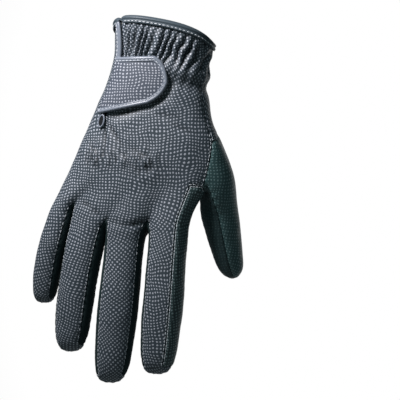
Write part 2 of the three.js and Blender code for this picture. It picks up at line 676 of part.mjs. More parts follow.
// Cuff binding: folded over the edge of the wrist opening, from one side of the slit to the other
const openEdge = rimOf(skin.faces);
const nextOnEdge = new Map(openEdge);
const openInwards = inwardsOf(openEdge);
const cuffEdge = [rows[0].slitEdge];
while (cuffEdge.at(-1) !== rows[0].back[0]) cuffEdge.push(nextOnEdge.get(cuffEdge.at(-1)));
const cuffStations = cuffEdge.map((i) => (out, down) => {
  const inward = openInwards.get(i);
  return skin.points[i].clone().addScaledVector(skinNormals[i], out).addScaledVector(inward, down);
});
const legOut = SEAM_GAP + BINDING;
const legIn = -LEATHER - SEAM_GAP - BINDING;
const cuffProfile = [
  [legOut, BINDING_OUTSIDE],
  [legOut, BINDING_OUTSIDE / 2],
  [legOut, -BINDING / 2],
  [-LEATHER / 2, -BINDING - SEAM_GAP],
  [legIn, -BINDING / 2],
  [legIn, BINDING_INSIDE],
  [-LEATHER - 2 * SEAM_GAP, BINDING_INSIDE],
  [-LEATHER - SEAM_GAP, -SEAM_GAP / 2],
  [SEAM_GAP, -SEAM_GAP / 2],
  [2 * SEAM_GAP, BINDING_OUTSIDE],
].map(([out, down]) => new THREE.Vector2(out, down));
addPiece("cuff_binding", "binding", sweep(cuffStations, cuffProfile));

// Slit binding: a band on the palm's edge of the slit, between the cuff binding and the tab
const slitBand = skin.faces.filter(({ panel, corners }) => {
  const columns = corners.map((i) => skin.folds[i].x);
  const depths = corners.map((i) => smoothPoints[i].z - smoothPoints[rows[0].slitEdge].z);
  const isBelowCuff = Math.max(...depths) < -BINDING_OUTSIDE + SEAM_GAP;
  const isAboveTab = Math.min(...depths) > -TAB_TOP - BINDING_OUTSIDE;
  return panel === "palm_panel" && Math.min(...columns) >= SLIT_SIDE_COLUMN - 0.5 && isBelowCuff && isAboveTab;
});
addPiece("slit_binding", "binding", wallGeometry(slitBand, BINDING, legOut));

// The hand's section at a share of its length, between the rows of the table
function sectionAt(along) {
  const last = HAND_SECTIONS.length - 1;
  const r = Math.min(last - 1, Math.max(0, HAND_SECTIONS.findLastIndex((row) => row.along <= along)));
  const [a, b] = [HAND_SECTIONS[r], HAND_SECTIONS[r + 1]];
  const share = (along - a.along) / (b.along - a.along);
  const blend = (key) => THREE.MathUtils.lerp(a[key], b[key], share);
  return { shift: blend("shift"), half: blend("half"), back: blend("back"), tilt: blend("tilt") };
}

// How far back the outside of the back of the hand is at x, z
function backDepth(x, z) {
  let along = -z / HAND_LENGTH;
  let depth = 0;
  for (let step = 0; step < 12; step++) {
    const section = sectionAt(along);
    const half = section.half * KNUCKLE_WIDTH;
    const tilt = THREE.MathUtils.degToRad(section.tilt);
    const sideways = (x - section.shift * KNUCKLE_WIDTH) / (half * Math.cos(tilt));
    const across = THREE.MathUtils.clamp(sideways, -0.97, 0.97);
    const round = (1 - Math.abs(across) ** SECTION_POWER) ** (1 / SECTION_POWER);
    const arch = CUFF_ARCH * Math.max(0, 1 - along / ARCH_FADE) * round;
    along = (arch - z - across * half * Math.sin(tilt)) / HAND_LENGTH;
    depth = section.back * KNUCKLE_DEPTH * round;
  }
  return -depth;
}

// A place over the back of the hand, at a height above it
function onBack({ x, y: z }, height) {
  const probe = 0.5;
  const depth = backDepth(x, z);
  const slopeX = (backDepth(x + probe, z) - depth) / probe;
  const slopeZ = (backDepth(x, z + probe) - depth) / probe;
  const normal = new THREE.Vector3(slopeX, -1, slopeZ).normalize();
  return new THREE.Vector3(x, depth, z).addScaledVector(normal, height);
}

// Where the palm's side of the slit is at z
function slitX(z) {
  const edge = rows.slice(0, KEYHOLE_ROW + 1).map((row) => smoothPoints[row.slitEdge]);
  const r = Math.max(0, Math.min(edge.length - 2, edge.findLastIndex((p) => p.z >= z)));
  return THREE.MathUtils.mapLinear(z, edge[r].z, edge[r + 1].z, edge[r].x, edge[r + 1].x);
}

// The tab's outline, in x and z: along the top, round the free side, and back along the bottom
const tabCorner = new THREE.Vector2(slitX(-TAB_TOP) - TAB_SETBACK, -TAB_TOP);
function tabBase(share) {
  const z = -TAB_TOP - share * TAB_HEIGHT;
  return new THREE.Vector2(slitX(z) - TAB_SETBACK, z);
}
const tabEnds = TAB_SIDE.map(
  ({ out, down }) => new THREE.Vector2(tabCorner.x + out * TAB_LENGTH, tabCorner.y - down * TAB_HEIGHT),
);
const TAB_ROWS = 10;
const tabSide = new THREE.SplineCurve(tabEnds).getPoints(TAB_ROWS);
const steps = (from, to) =>
  Array.from({ length: TAB_COLUMNS }, (_, i) => from.clone().lerp(to, i / TAB_COLUMNS));
const outline = [
  ...steps(tabBase(0), tabSide[0]),
  ...tabSide,
  ...steps(tabBase(1), tabSide.at(-1)).reverse(),
];
const outlineInwards = outline.map((_, i) => {
  const before = outline[Math.max(0, i - 1)];
  const after = outline[Math.min(outline.length - 1, i + 1)];
  const along = after.clone().sub(before).normalize();
  return new THREE.Vector2(along.y, -along.x);
});

// Tab: a leather plate from its base on the palm's side of the slit to its rounded free side
const plateInset = TAB_EDGING_WIDTH + SEAM_GAP * 1.5;
const plateRows = tabSide.map((_, k) => {
  const margin = plateInset / TAB_HEIGHT;
  const start = tabBase(THREE.MathUtils.lerp(margin, 1 - margin, k / TAB_ROWS));
  const station = TAB_COLUMNS + k;
  const end = outline[station].clone().addScaledVector(outlineInwards[station], plateInset);
  return [...steps(start, end), end];
});
function plateGeometry() {
  const flat = plateRows.flat();
  const upper = flat.map((p) => onBack(p, TAB_LIFT + TAB_THICKNESS));
  const lower = flat.map((p) => onBack(p, TAB_LIFT));
  const n = flat.length;
  const width = TAB_COLUMNS + 1;
  const triangles = [];
  const quad = (a, b, c, d) => triangles.push(a, b, c, a, c, d);
  for (let k = 0; k < TAB_ROWS; k++) {
    for (let c = 0; c < TAB_COLUMNS; c++) {
      const a = k * width + c;
      quad(a, a + width, a + width + 1, a + 1);
      quad(n + a, n + a + 1, n + a + width + 1, n + a + width);
      if (k === 0) quad(a, a + 1, n + a + 1, n + a);
      if (k === TAB_ROWS - 1) quad(a + width, n + a + width, n + a + width + 1, a + width + 1);
    }
    const first = k * width;
    quad(first, n + first, n + first + width, first + width);
    const last = first + TAB_COLUMNS;
    quad(last, last + width, n + last + width, n + last);
  }
  return faceOut(new THREE.BufferGeometry().setFromPoints([...upper, ...lower]).setIndex(triangles));
}
addPiece("closure_tab", "leather", plateGeometry());

// Tab edging: a padded band round the three free sides of the tab
const edgingProfile = [
  [0, 0],
  [0, TAB_EDGING_THICKNESS * 0.6],
  [TAB_EDGING_WIDTH * 0.25, TAB_EDGING_THICKNESS],
  [TAB_EDGING_WIDTH * 0.75, TAB_EDGING_THICKNESS],
  [TAB_EDGING_WIDTH, TAB_EDGING_THICKNESS * 0.7],
  [TAB_EDGING_WIDTH, 0],
].map(([across, height]) => new THREE.Vector2(across, height));
const edgingStations = outline.map((point, i) => (across, height) => {
  const place = point.clone().addScaledVector(outlineInwards[i], across);
  return onBack(place, TAB_LIFT + height);
});
addPiece("tab_edging", "binding", sweep(edgingStations, edgingProfile));

// Slit loop: an oval ring that ends the slit, just below the tab
const LOOP_STATIONS = 20;
const LOOP_SIDES = 6;
const loopTop = tabBase(1);
const slitLean = new THREE.Vector2(slitX(loopTop.y - LOOP_LENGTH) - slitX(loopTop.y), -LOOP_LENGTH).normalize();
const loopCentre = new THREE.Vector2(slitX(loopTop.y), loopTop.y).addScaledVector(
  slitLean,
  LOOP_LENGTH / 2 + SEAM_GAP,
);
const loopSide = new THREE.Vector2(-slitLean.y, slitLean.x);
const loopProfile = Array.from({ length: LOOP_SIDES }, (_, i) => {
  const angle = (i / LOOP_SIDES) * 2 * Math.PI;
  return new THREE.Vector2(Math.cos(angle), Math.sin(angle)).multiplyScalar(LOOP_THICKNESS / 2);
});
const loopStations = Array.from({ length: LOOP_STATIONS }, (_, k) => (across, height) => {
  const angle = (k / LOOP_STATIONS) * 2 * Math.PI;
  const long = (LOOP_LENGTH - LOOP_THICKNESS) / 2 + across;
  const wide = (LOOP_WIDTH - LOOP_THICKNESS) / 2 + across;
  const place = loopCentre
    .clone()
    .addScaledVector(slitLean, long * Math.cos(angle))
    .addScaledVector(loopSide, wide * Math.sin(angle));
  return onBack(place, SEAM_GAP + LOOP_THICKNESS / 2 + height);
});
addPiece("slit_loop", "binding", sweep(loopStations, loopProfile, true));

export default glove;
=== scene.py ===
# %% [markdown]
# A riding glove for the right hand. The real glove is thin synthetic leather with a pattern of
# small raised dots, sewn from a few flat pieces: one large piece folded round the little finger's
# side makes back and palm, and the thumb, the side of the index finger and the dark cloth gussets
# between the fingers are sewn into it. We load the plain solids first, as a frame to build on.

# %% Load the frame
import math
import bpy
import numpy as np
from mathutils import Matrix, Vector, noise
from mathutils.bvhtree import BVHTree
from mathutils.kdtree import KDTree


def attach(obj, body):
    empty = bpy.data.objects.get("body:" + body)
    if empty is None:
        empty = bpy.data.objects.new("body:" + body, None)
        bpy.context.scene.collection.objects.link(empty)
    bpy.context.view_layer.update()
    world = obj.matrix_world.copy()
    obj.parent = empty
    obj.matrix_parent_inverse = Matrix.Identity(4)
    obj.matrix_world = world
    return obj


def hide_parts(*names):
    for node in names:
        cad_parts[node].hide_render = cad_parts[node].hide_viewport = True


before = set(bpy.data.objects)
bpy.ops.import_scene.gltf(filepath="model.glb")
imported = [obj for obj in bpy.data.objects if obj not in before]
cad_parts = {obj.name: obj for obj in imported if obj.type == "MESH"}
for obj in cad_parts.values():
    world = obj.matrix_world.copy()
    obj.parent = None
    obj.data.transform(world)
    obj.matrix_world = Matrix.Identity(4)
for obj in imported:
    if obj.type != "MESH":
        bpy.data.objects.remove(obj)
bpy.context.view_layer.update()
print("solids:", sorted(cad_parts))

# %% [markdown]
# The same sizes as in the solids, in metres. Shares are of the hand's length, of its width at the
# knuckles and of its depth there, so a resized glove keeps its proportions.

# %% Sizes of the hand
MM = 0.001
HAND_LENGTH = 107 * MM
KNUCKLE_WIDTH = 90 * MM
KNUCKLE_DEPTH = 28 * MM
CUFF_ARCH = 9 * MM
CUFF_ARCH_PALM = 2 * MM
ARCH_FADE = 0.2
LEATHER = 1.2 * MM
GUSSET_CLOTH = 1.0 * MM
SECTION_POWER = 2.4
PALM_ENDS = 0.9
SLIT_SIDE_SPREAD = 0.03
HAND_SECTIONS = [
    dict(along=0.0, shift=0.0, half=0.348, back=0.74, palm=0.74, tilt=10.6, slit=0.75, thumb=0.93),
    dict(along=0.076, shift=-0.01, half=0.344, back=0.7, palm=0.72, tilt=10.4, slit=0.69, thumb=0.93),
    dict(along=0.171, shift=-0.029, half=0.33, back=0.64, palm=0.68, tilt=10.4, slit=0.66, thumb=0.93),
    dict(along=0.294, shift=-0.044, half=0.358, back=0.62, palm=0.7, tilt=10.6, slit=0.67, thumb=0.93),
    dict(along=0.406, shift=-0.07, half=0.402, back=0.6, palm=0.76, tilt=9.0, slit=0.69, thumb=0.94),
    dict(along=0.529, shift=-0.082, half=0.456, back=0.58, palm=0.8, tilt=7.0, slit=0.72, thumb=0.95),
    dict(along=0.669, shift=-0.13, half=0.486, back=0.54, palm=0.74, tilt=4.2, slit=0.88, thumb=0.95),
    dict(along=0.812, shift=-0.193, half=0.506, back=0.48, palm=0.6, tilt=2.6, slit=0.93, thumb=0.95),
]
SLIT_GAPE = [0.4 * MM, 0.4 * MM, 0.8 * MM, 2.0 * MM, 4.0 * MM, 0, 0, 0]
GATHER_SLANT = [0.02, 0.06, 0.11, 0.1, 0.06, 0.02, 0, 0]
KEYHOLE_ROW = 5
COLUMNS = 12

# %% [markdown]
# Each finger has a length from its crotch to its tip, a width and a depth, and it leans, bows and
# curls a little, as an empty glove on a hand form does. The little finger also rolls, so that its
# seam faces us.

# %% Sizes of the fingers
FINGERS = [
    dict(length=62 * MM, width=17.2 * MM, depth=15.5 * MM, roll=17),
    dict(length=87 * MM, width=23.4 * MM, depth=18.5 * MM, roll=13),
    dict(length=99.5 * MM, width=24 * MM, depth=19.5 * MM, roll=-5),
    dict(length=96 * MM, width=24 * MM, depth=19.5 * MM, roll=0),
]
FINGER_HANG = [
    dict(base_x=-0.678, outer=0.94, inner=0.92, lean=-0.3, bow=-0.04, curl=0.24, seam=0.36),
    dict(base_x=-0.492, outer=0.92, inner=1.03, lean=-0.215, bow=-0.022, curl=0.17, seam=0.36),
    dict(base_x=-0.262, outer=1.03, inner=1.035, lean=-0.14, bow=0.008, curl=0.13, seam=0.36),
    dict(base_x=0.04, outer=1.035, inner=0.985, lean=-0.12, bow=0.004, curl=0.12, seam=0.66),
]
FINGER_SECTIONS = [
    dict(along=0.1, width=0.93, depth=1.0),
    dict(along=0.28, width=0.96, depth=0.98),
    dict(along=0.47, width=1.0, depth=1.0),
    dict(along=0.66, width=0.97, depth=0.92),
    dict(along=0.84, width=0.92, depth=0.86),
    dict(along=0.955, width=0.7, depth=0.66),
]
RING = [
    (-0.86, -0.64), (-0.36, -1.02), (0.36, -1.02), (0.86, -0.64), (1.05, 0.03),
    (0.86, 0.68), (0.36, 1.02), (-0.36, 1.02), (-0.86, 0.68), (-1.05, 0.03),
]
SEAM_POINT = 2
CAGE_SWELL = 1.06
CROTCH_SWELL = 1.2
CROTCH_SLOPE = 0.065
FINGER_COLUMNS = 3
FINGER_ROOT = dict(along=0, width=1, depth=1.06)
FINGER_TIP = dict(along=1.01, width=0.46, depth=0.36)
ROOT_SLOPE_FADE = 0.45
CURL_POWER = 1.6
ROOT_SLOPE = 0.7
WEB_RISE = 1 * MM

# %% [markdown]
# The thumb leaves the hand through a hole in its side, whose seam runs over the ball of the thumb.

# %% Sizes of the thumb
THUMB_LENGTH = 45 * MM
THUMB_WIDTH = 25 * MM
THUMB_DEPTH = 23 * MM
THUMB_ROOT = dict(x=0.327, y=0.64, z=0.972)
THUMB_SECTIONS = [
    dict(along=0.0, side=0.0, front=0.0, width=1.02, depth=1.04),
    dict(along=0.27, side=0.045, front=0.07, width=1.0, depth=0.96),
    dict(along=0.54, side=0.08, front=0.16, width=0.92, depth=0.84),
    dict(along=0.82, side=0.135, front=0.25, width=0.76, depth=0.64),
]
THUMB_TIP = dict(along=0.97, side=0.18, front=0.31)
THUMB_BULGE = 4 * MM
THUMB_SEAM_ANGLE = -12
THUMB_GUSSET_COLUMNS = 4
THUMB_TOP_ROW = KEYHOLE_ROW
THUMB_BOTTOM_ROW = len(HAND_SECTIONS) - 1
THUMB_SEAM = [
    dict(row=7, column=12, sideways=0, up=0),
    dict(row=7, column=11, sideways=0.016, up=0.028),
    dict(row=6, column=11, sideways=-0.022, up=-0.065),
    dict(row=6, column=10, sideways=-0.011, up=-0.047),
    dict(row=6, column=9, sideways=0.022, up=0),
    dict(row=5, column=9, sideways=0.06, up=0),
    dict(row=5, column=10, sideways=0.039, up=0.028),
    dict(row=5, column=11, sideways=0.022, up=0.056),
    dict(row=5, column=12, sideways=0, up=0.06),
]

# %% [markdown]
# The whole glove is one coarse cage of four-sided faces. Each face names the flat piece of leather
# or cloth that it belongs to, and each point remembers its column round the hand and its row down
# it, so that gathers can later be laid along the columns.

# %% The cage's lists
PANELS = [
    "back", "palm", "index_side", "thumb", "thumb_gusset",
    "gusset_ring_little", "gusset_middle_ring", "gusset_index_middle",
]
points = []
columns = []
cage_rows = []
faces = []
face_panels = []


def add_point(place, column=-1.0, row=9.0):
    points.append(Vector(place))
    columns.append(column)
    cage_rows.append(row)
    return len(points) - 1


def add_face(panel, *corners):
    faces.append(corners)
    face_panels.append(PANELS.index(panel))


def mean(*vectors):
    return sum(vectors, Vector()) / len(vectors)


# %% [markdown]
# The hand is a tube of eight sections, each a squarish oval. Its back is laid from the edge of the
# wrist slit to the thumb's side, and its palm from side to side.

# %% The tube of the hand
LAST_PALM_COLUMN = 2 * COLUMNS + 2


def hand_point(r, across, side, column):
    section = HAND_SECTIONS[r]
    half = section["half"] * KNUCKLE_WIDTH
    depth = (section["back"] if side < 0 else section["palm"]) * KNUCKLE_DEPTH
    round_off = max(0, 1 - abs(across) ** SECTION_POWER) ** (1 / SECTION_POWER)
    tilt = math.radians(section["tilt"])
    arch = (CUFF_ARCH if side < 0 else CUFF_ARCH_PALM) * max(0, 1 - section["along"] / ARCH_FADE) * round_off
    x = section["shift"] * KNUCKLE_WIDTH + across * half * math.cos(tilt)
    z = arch - section["along"] * HAND_LENGTH - across * half * math.sin(tilt)
    return add_point((x, side * depth * round_off, z), column, r)


def hand_row(r):
    section = HAND_SECTIONS[r]
    opening = SLIT_GAPE[r] / (section["half"] * KNUCKLE_WIDTH)
    row = dict(back=[], palm=[])
    for c in range(COLUMNS + 1):
        share = c / COLUMNS
        leaned = share - GATHER_SLANT[r] * 4 * share * (1 - share)
        start = -section["slit"] + opening / 2
        row["back"].append(hand_point(r, start + (section["thumb"] - start) * leaned, -1, c))
        row["palm"].append(hand_point(r, PALM_ENDS * (2 * share - 1), 1, LAST_PALM_COLUMN - c))
    row["thumb_side"] = hand_point(r, 1, 1, COLUMNS + 1)
    row["little_side"] = hand_point(r, -1, 1, LAST_PALM_COLUMN + 1)
    row["slit_edge"] = row["back"][0]
    if r <= KEYHOLE_ROW:
        row["slit_side"] = hand_point(
            r, -(1 + section["slit"]) / 2 - SLIT_SIDE_SPREAD, -1, LAST_PALM_COLUMN + 2
        )
    if r < KEYHOLE_ROW:
        row["slit_edge"] = hand_point(r, -section["slit"] - opening / 2, -1, LAST_PALM_COLUMN + 3)
    return row


rows = [hand_row(r) for r in range(len(HAND_SECTIONS))]
print("points in the tube of the hand:", len(points))

# %% [markdown]
# A finger is a tube of rings with ten points each. Where two fingers meet, their first rings share
# the points of the crotch, and the crotch slopes down towards the palm.

# %% The fingers' rings and the crotches
CROTCH_ROW = 8.0


def finger_ring(f, along, width, depth):
    finger = FINGERS[f]
    hang = FINGER_HANG[f]
    length = finger["length"]
    top = -(hang["outer"] + hang["inner"]) / 2 * HAND_LENGTH
    slope = (hang["outer"] - hang["inner"]) / 2 * HAND_LENGTH * max(0, 1 - along / ROOT_SLOPE_FADE)
    turn = math.radians(finger["roll"])
    x0 = hang["base_x"] * KNUCKLE_WIDTH
    x0 += length * (hang["lean"] * along + hang["bow"] * 4 * along * (1 - along))
    y0 = length * hang["curl"] * along ** CURL_POWER
    ring = []
    for i, (x, y) in enumerate(RING):
        u = (hang["seam"] if i == SEAM_POINT else x) * width * finger["width"] * CAGE_SWELL / 2
        v = y * depth * finger["depth"] * CAGE_SWELL / 2
        ring.append(Vector((
            x0 + u * math.cos(turn) + v * math.sin(turn),
            y0 + v * math.cos(turn) - u * math.sin(turn),
            top - length * along + slope * x,
        )))
    return ring


def crotch_row():
    rings = [finger_ring(f, **FINGER_ROOT) for f in range(len(FINGERS))]
    drop = Vector((0, 0, -CROTCH_SLOPE * HAND_LENGTH))
    back, palm, web = [], [], []
    for f, ring in enumerate(rings):
        c = f * FINGER_COLUMNS
        if f == 0:
            back_point, palm_point, web_point = ring[0], ring[8], ring[9]
        else:
            back_point = mean(rings[f - 1][3], ring[0])
            palm_point = mean(rings[f - 1][5], ring[8])
            back_point.y *= CROTCH_SWELL
            palm_point.y *= CROTCH_SWELL
            palm_point = palm_point + drop
            web_point = mean(back_point, palm_point) + Vector((0, 0, WEB_RISE))
        back.append(add_point(back_point, c, CROTCH_ROW))
        palm.append(add_point(palm_point, LAST_PALM_COLUMN - c, CROTCH_ROW))
        web.append(add_point(web_point, -1, CROTCH_ROW))
        for step in (1, 2):
            back.append(add_point(ring[step], c + step, CROTCH_ROW))
            low_point = ring[8 - step] + drop * ROOT_SLOPE
            palm.append(add_point(low_point, LAST_PALM_COLUMN - c - step, CROTCH_ROW))
    last = rings[-1]
    back.append(add_point(last[3], COLUMNS, CROTCH_ROW))
    palm.append(add_point(last[5], LAST_PALM_COLUMN - COLUMNS, CROTCH_ROW))
    web.append(add_point(last[4], -1, CROTCH_ROW))
    return dict(back=back, palm=palm, web=web, slit_edge=back[0], little_side=web[0], thumb_side=web[-1])


rows.append(crotch_row())
print("rows of the cage down to the crotches:", len(rows))

# %% [markdown]
# Now the faces of the hand. Below the thumb, the last column of the back belongs to the side piece
# of the index finger. The hole for the thumb stays open, and so does the slit at the wrist.

# %% Faces of the hand


def is_beside_thumb(r):
    return THUMB_TOP_ROW <= r < THUMB_BOTTOM_ROW


def in_thumb_hole(r, c):
    return is_beside_thumb(r) and c >= min(s["column"] for s in THUMB_SEAM if s["row"] == r + 1)


for r in range(len(rows) - 1):
    a, b = rows[r], rows[r + 1]
    for c in range(COLUMNS):
        beside_index = r >= THUMB_BOTTOM_ROW and c >= COLUMNS - 1
        add_face("index_side" if beside_index else "back",
                 a["back"][c], b["back"][c], b["back"][c + 1], a["back"][c + 1])
        if not in_thumb_hole(r, c):
            add_face("palm", a["palm"][c + 1], b["palm"][c + 1], b["palm"][c], a["palm"][c])
    add_face("palm", a["palm"][0], b["palm"][0], b["little_side"], a["little_side"])
    if r < KEYHOLE_ROW:
        add_face("palm", a["little_side"], b["little_side"], b["slit_side"], a["slit_side"])
        add_face("palm", a["slit_side"], b["slit_side"], b["slit_edge"], a["slit_edge"])
    elif r == KEYHOLE_ROW:
        add_face("palm", a["little_side"], b["little_side"], b["slit_edge"], a["slit_side"])
        add_face("palm", a["slit_side"], b["slit_edge"], a["slit_edge"])
    else:
        add_face("palm", a["little_side"], b["little_side"], b["slit_edge"], a["slit_edge"])
    if is_beside_thumb(r):
        continue
    side = "index_side" if r >= THUMB_BOTTOM_ROW else "palm"
    add_face(side, a["back"][COLUMNS], b["back"][COLUMNS], b["thumb_side"], a["thumb_side"])
    add_face(side, a["thumb_side"], b["thumb_side"], b["palm"][COLUMNS], a["palm"][COLUMNS])
print("faces of the hand:", len(faces))

# %% [markdown]
# The fingers' faces: three columns of back, two of gusset, three of palm and two of gusset, and a
# rounded cap where back and palm are sewn together at the tip.

# %% Faces of the fingers
GUSSETS = PANELS[5:]
crotch = rows[-1]
for f in range(len(FINGERS)):
    c = f * FINGER_COLUMNS
    is_index = f == len(FINGERS) - 1
    thumbward = "index_side" if is_index else GUSSETS[f]
    littleward = GUSSETS[f - 1] if f else "palm"
    around = ["back", "back", "index_side" if is_index else "back"]
    around += [thumbward] * 2 + ["palm"] * 3 + [littleward] * 2
    above = crotch["back"][c:c + 4] + [crotch["web"][f + 1]]
    above += crotch["palm"][c:c + 4][::-1] + [crotch["web"][f]]
    for k, section in enumerate(FINGER_SECTIONS):
        places = finger_ring(f, **section)
        ring = [add_point(place, -1, CROTCH_ROW + 1 + k) for place in places]
        for i, panel in enumerate(around):
            j = (i + 1) % len(RING)
            add_face(panel, above[i], ring[i], ring[j], above[j])
        above = ring
    tip = finger_ring(f, **FINGER_TIP)
    m1 = add_point(mean(tip[0], tip[8]))
    m2 = add_point(mean(tip[3], tip[5]))
    b0, b1, b2, b3, right, p3, p2, p1, p0, left = above
    add_face("back", b0, left, m1, b1)
    add_face("back", b1, m1, m2, b2)
    add_face("back", b2, m2, right, b3)
    add_face("palm", left, p0, p1, m1)
    add_face("palm", m1, p1, p2, m2)
    add_face("palm", m2, p2, p3, right)
print("faces with the fingers:", len(faces))

# %% [markdown]
# The thumb is a tube too. It starts at the points of the hole and turns down in two steps to its
# first whole section.

# %% The thumb
thumb_top, thumb_bottom = rows[THUMB_TOP_ROW], rows[THUMB_BOTTOM_ROW]
hole = [thumb_bottom["back"][COLUMNS], thumb_bottom["thumb_side"]]
for seam in THUMB_SEAM:
    index = rows[seam["row"]]["palm"][seam["column"]]
    points[index].x += seam["sideways"] * KNUCKLE_WIDTH
    points[index].z += seam["up"] * HAND_LENGTH
    hole.append(index)
hole += [thumb_top["thumb_side"], thumb_top["back"][COLUMNS]]
hole += [rows[r]["back"][COLUMNS] for r in range(THUMB_TOP_ROW + 1, THUMB_BOTTOM_ROW)]
thumb_root = Vector((
    THUMB_ROOT["x"] * KNUCKLE_WIDTH,
    THUMB_ROOT["y"] * KNUCKLE_DEPTH,
    -THUMB_ROOT["z"] * HAND_LENGTH,
))


def thumb_place(along, side, front):
    return thumb_root + THUMB_LENGTH * Vector((side, front, -along))


thumb_axis = (thumb_place(**THUMB_TIP) - thumb_root).normalized()
thumb_out = (Vector((1, 0, 0)) - thumb_axis * thumb_axis.x).normalized()
thumb_back = thumb_axis.cross(thumb_out).normalized()


def thumb_ring(along, side, front, width, depth):
    centre = thumb_place(along, side, front)
    ring = []
    for j in range(len(hole)):
        angle = math.radians(THUMB_SEAM_ANGLE) + j / len(hole) * 2 * math.pi
        ring.append(
            centre
            + thumb_back * (math.cos(angle) * width * THUMB_WIDTH / 2)
            - thumb_out * (math.sin(angle) * depth * THUMB_DEPTH / 2)
        )
    return ring


first_ring = thumb_ring(**THUMB_SECTIONS[0])
thumb_rings = []
for share in (1 / 3, 2 / 3):
    ring = []
    for index, target in zip(hole, first_ring):
        away = (target - thumb_root).normalized()
        bulge = THUMB_BULGE * math.sin(share * math.pi) * max(0, away.x)
        ring.append(points[index].lerp(target, share) + away * bulge)
    thumb_rings.append(ring)
thumb_rings += [thumb_ring(**section) for section in THUMB_SECTIONS]
above = hole
for places in thumb_rings:
    ring = [add_point(place) for place in places]
    for i in range(len(ring)):
        j = (i + 1) % len(ring)
        panel = "thumb_gusset" if i < THUMB_GUSSET_COLUMNS else "thumb"
        add_face(panel, above[j], ring[j], ring[i], above[i])
    above = ring
tip_point = add_point(thumb_place(**THUMB_TIP))
for i in range(0, len(above), 2):
    panel = "thumb_gusset" if i < THUMB_GUSSET_COLUMNS else "thumb"
    add_face(panel, above[i + 1], above[(i + 2) % len(above)], tip_point, above[i])
print("cage:", len(points), "points,", len(faces), "faces")

# %% [markdown]
# A subdivision surface turns the cage into a smooth skin. Three levels give faces about a
# millimetre across, fine enough for the folds. We read the result back as plain arrays.

# %% The smooth skin
SMOOTH_LEVELS = 3
scene = bpy.context.scene
cage_mesh = bpy.data.meshes.new("cage")
cage_mesh.from_pydata([tuple(p) for p in points], [], faces)
for panel in PANELS:
    cage_mesh.materials.append(bpy.data.materials.new(panel))
cage_mesh.polygons.foreach_set("material_index", face_panels)
cage_mesh.attributes.new("column", "FLOAT", "POINT").data.foreach_set("value", columns)
cage_mesh.attributes.new("row", "FLOAT", "POINT").data.foreach_set("value", cage_rows)
cage = bpy.data.objects.new("cage", cage_mesh)
scene.collection.objects.link(cage)
smoothing = cage.modifiers.new("smooth", "SUBSURF")
smoothing.levels = smoothing.render_levels = SMOOTH_LEVELS
smoothing.use_limit_surface = False
smooth = cage.evaluated_get(bpy.context.evaluated_depsgraph_get()).to_mesh()


def read(items, key, width, kind=float):
    flat = np.empty(len(items) * width, dtype=kind)
    items.foreach_get(key, flat)
    return flat.reshape(-1, width) if width > 1 else flat


skin = read(smooth.vertices, "co", 3)
quads = read(smooth.polygons, "vertices", 4, np.int64)
quad_panels = read(smooth.polygons, "material_index", 1, np.int64)
skin_column = read(smooth.attributes["column"].data, "value", 1)
skin_row = read(smooth.attributes["row"].data, "value", 1)
cage.evaluated_get(bpy.context.evaluated_depsgraph_get()).to_mesh_clear()
bpy.data.objects.remove(cage)
print("skin:", len(skin), "points,", len(quads), "faces, columns", skin_column.min(), skin_column.max())

# %% [markdown]
# Every fold is made the same way: we push each point of the skin along its outward direction. So
# we need that direction first. A face's normal comes from its two diagonals, and a point takes the
# sum over its faces.

# %% Outward directions


def unit(vectors):
    return vectors / np.maximum(np.linalg.norm(vectors, axis=1, keepdims=True), 1e-12)


def normals_of(places, corners):
    a, b, c, d = (places[corners[:, k]] for k in range(4))
    across = unit(np.cross(c - a, d - b))
    total = np.zeros_like(places)
    for k in range(4):
        np.add.at(total, corners[:, k], across)
    return unit(total)


def smooth_step(values, start, end):
    share = np.clip((values - start) / (end - start), 0, 1)
    return share * share * (3 - 2 * share)


smooth_skin = skin.copy()
smooth_normals = normals_of(skin, quads)
print("back faces -Y:", bool(smooth_normals[quads[quad_panels == 0].ravel(), 1].mean() < 0))

# %% [markdown]
# The cuff is gathered: an elastic sewn inside draws the leather into slanted pleats. They start
# softly under the binding, are deepest at the elastic, and die out in a smooth roll with a dip
# below it. There is one pleat to each column of the cage, and a slow noise makes it wander. Most of
# its depth goes inwards, and no two pleats are equally deep. We also keep how deep in a fold each
# point lies, and in the dip below the roll: the leather's colour is darkened there later, as
# painted shade in the folds.

# %% Gathers at the wrist
PLEAT_DEPTH = 3.6 * MM
PLEAT_SHARPNESS = 0.8
PLEAT_OUTSIDE = 0.25
PLEAT_LEAN = 0.8
PLEAT_WANDER = 0.55
WANDER_SIZE = 8 * MM
UNEVEN = dict(height=0.35, rate=1.9, start=0.7, wander=0.5)
START_ROWS = (0.1, 0.5, 1.0)
START_SHARE = 0.4
END_ROWS = (1.5, 2.2, 3.2)
END_SHARE = 0.8
SLIT_COLUMNS = (0.2, 1.0)
TAB_END_COLUMNS = (6.0, 9.0)
ELASTIC = dict(row=1.3, width=0.5)
ELASTIC_PULL = 1.0 * MM
ROLL = dict(row=2.0, width=0.3)
DIP = dict(row=2.55, width=0.24)
ROLL_HEIGHT = 1.3 * MM
PLEAT_SHADE_NARROW = 1.6
DIP_SHADE = 0.5


def two_steps(ends, share):
    """A rise from 0 to 1 over three rows, of which this share is done at the middle one."""
    start, middle, end = ends
    first, second = smooth_step(skin_row, start, middle), smooth_step(skin_row, middle, end)
    return share * first + (1 - share) * second


def hump(row, width):
    return clear_of_tab * np.exp(-((skin_row - row) / width) ** 2)


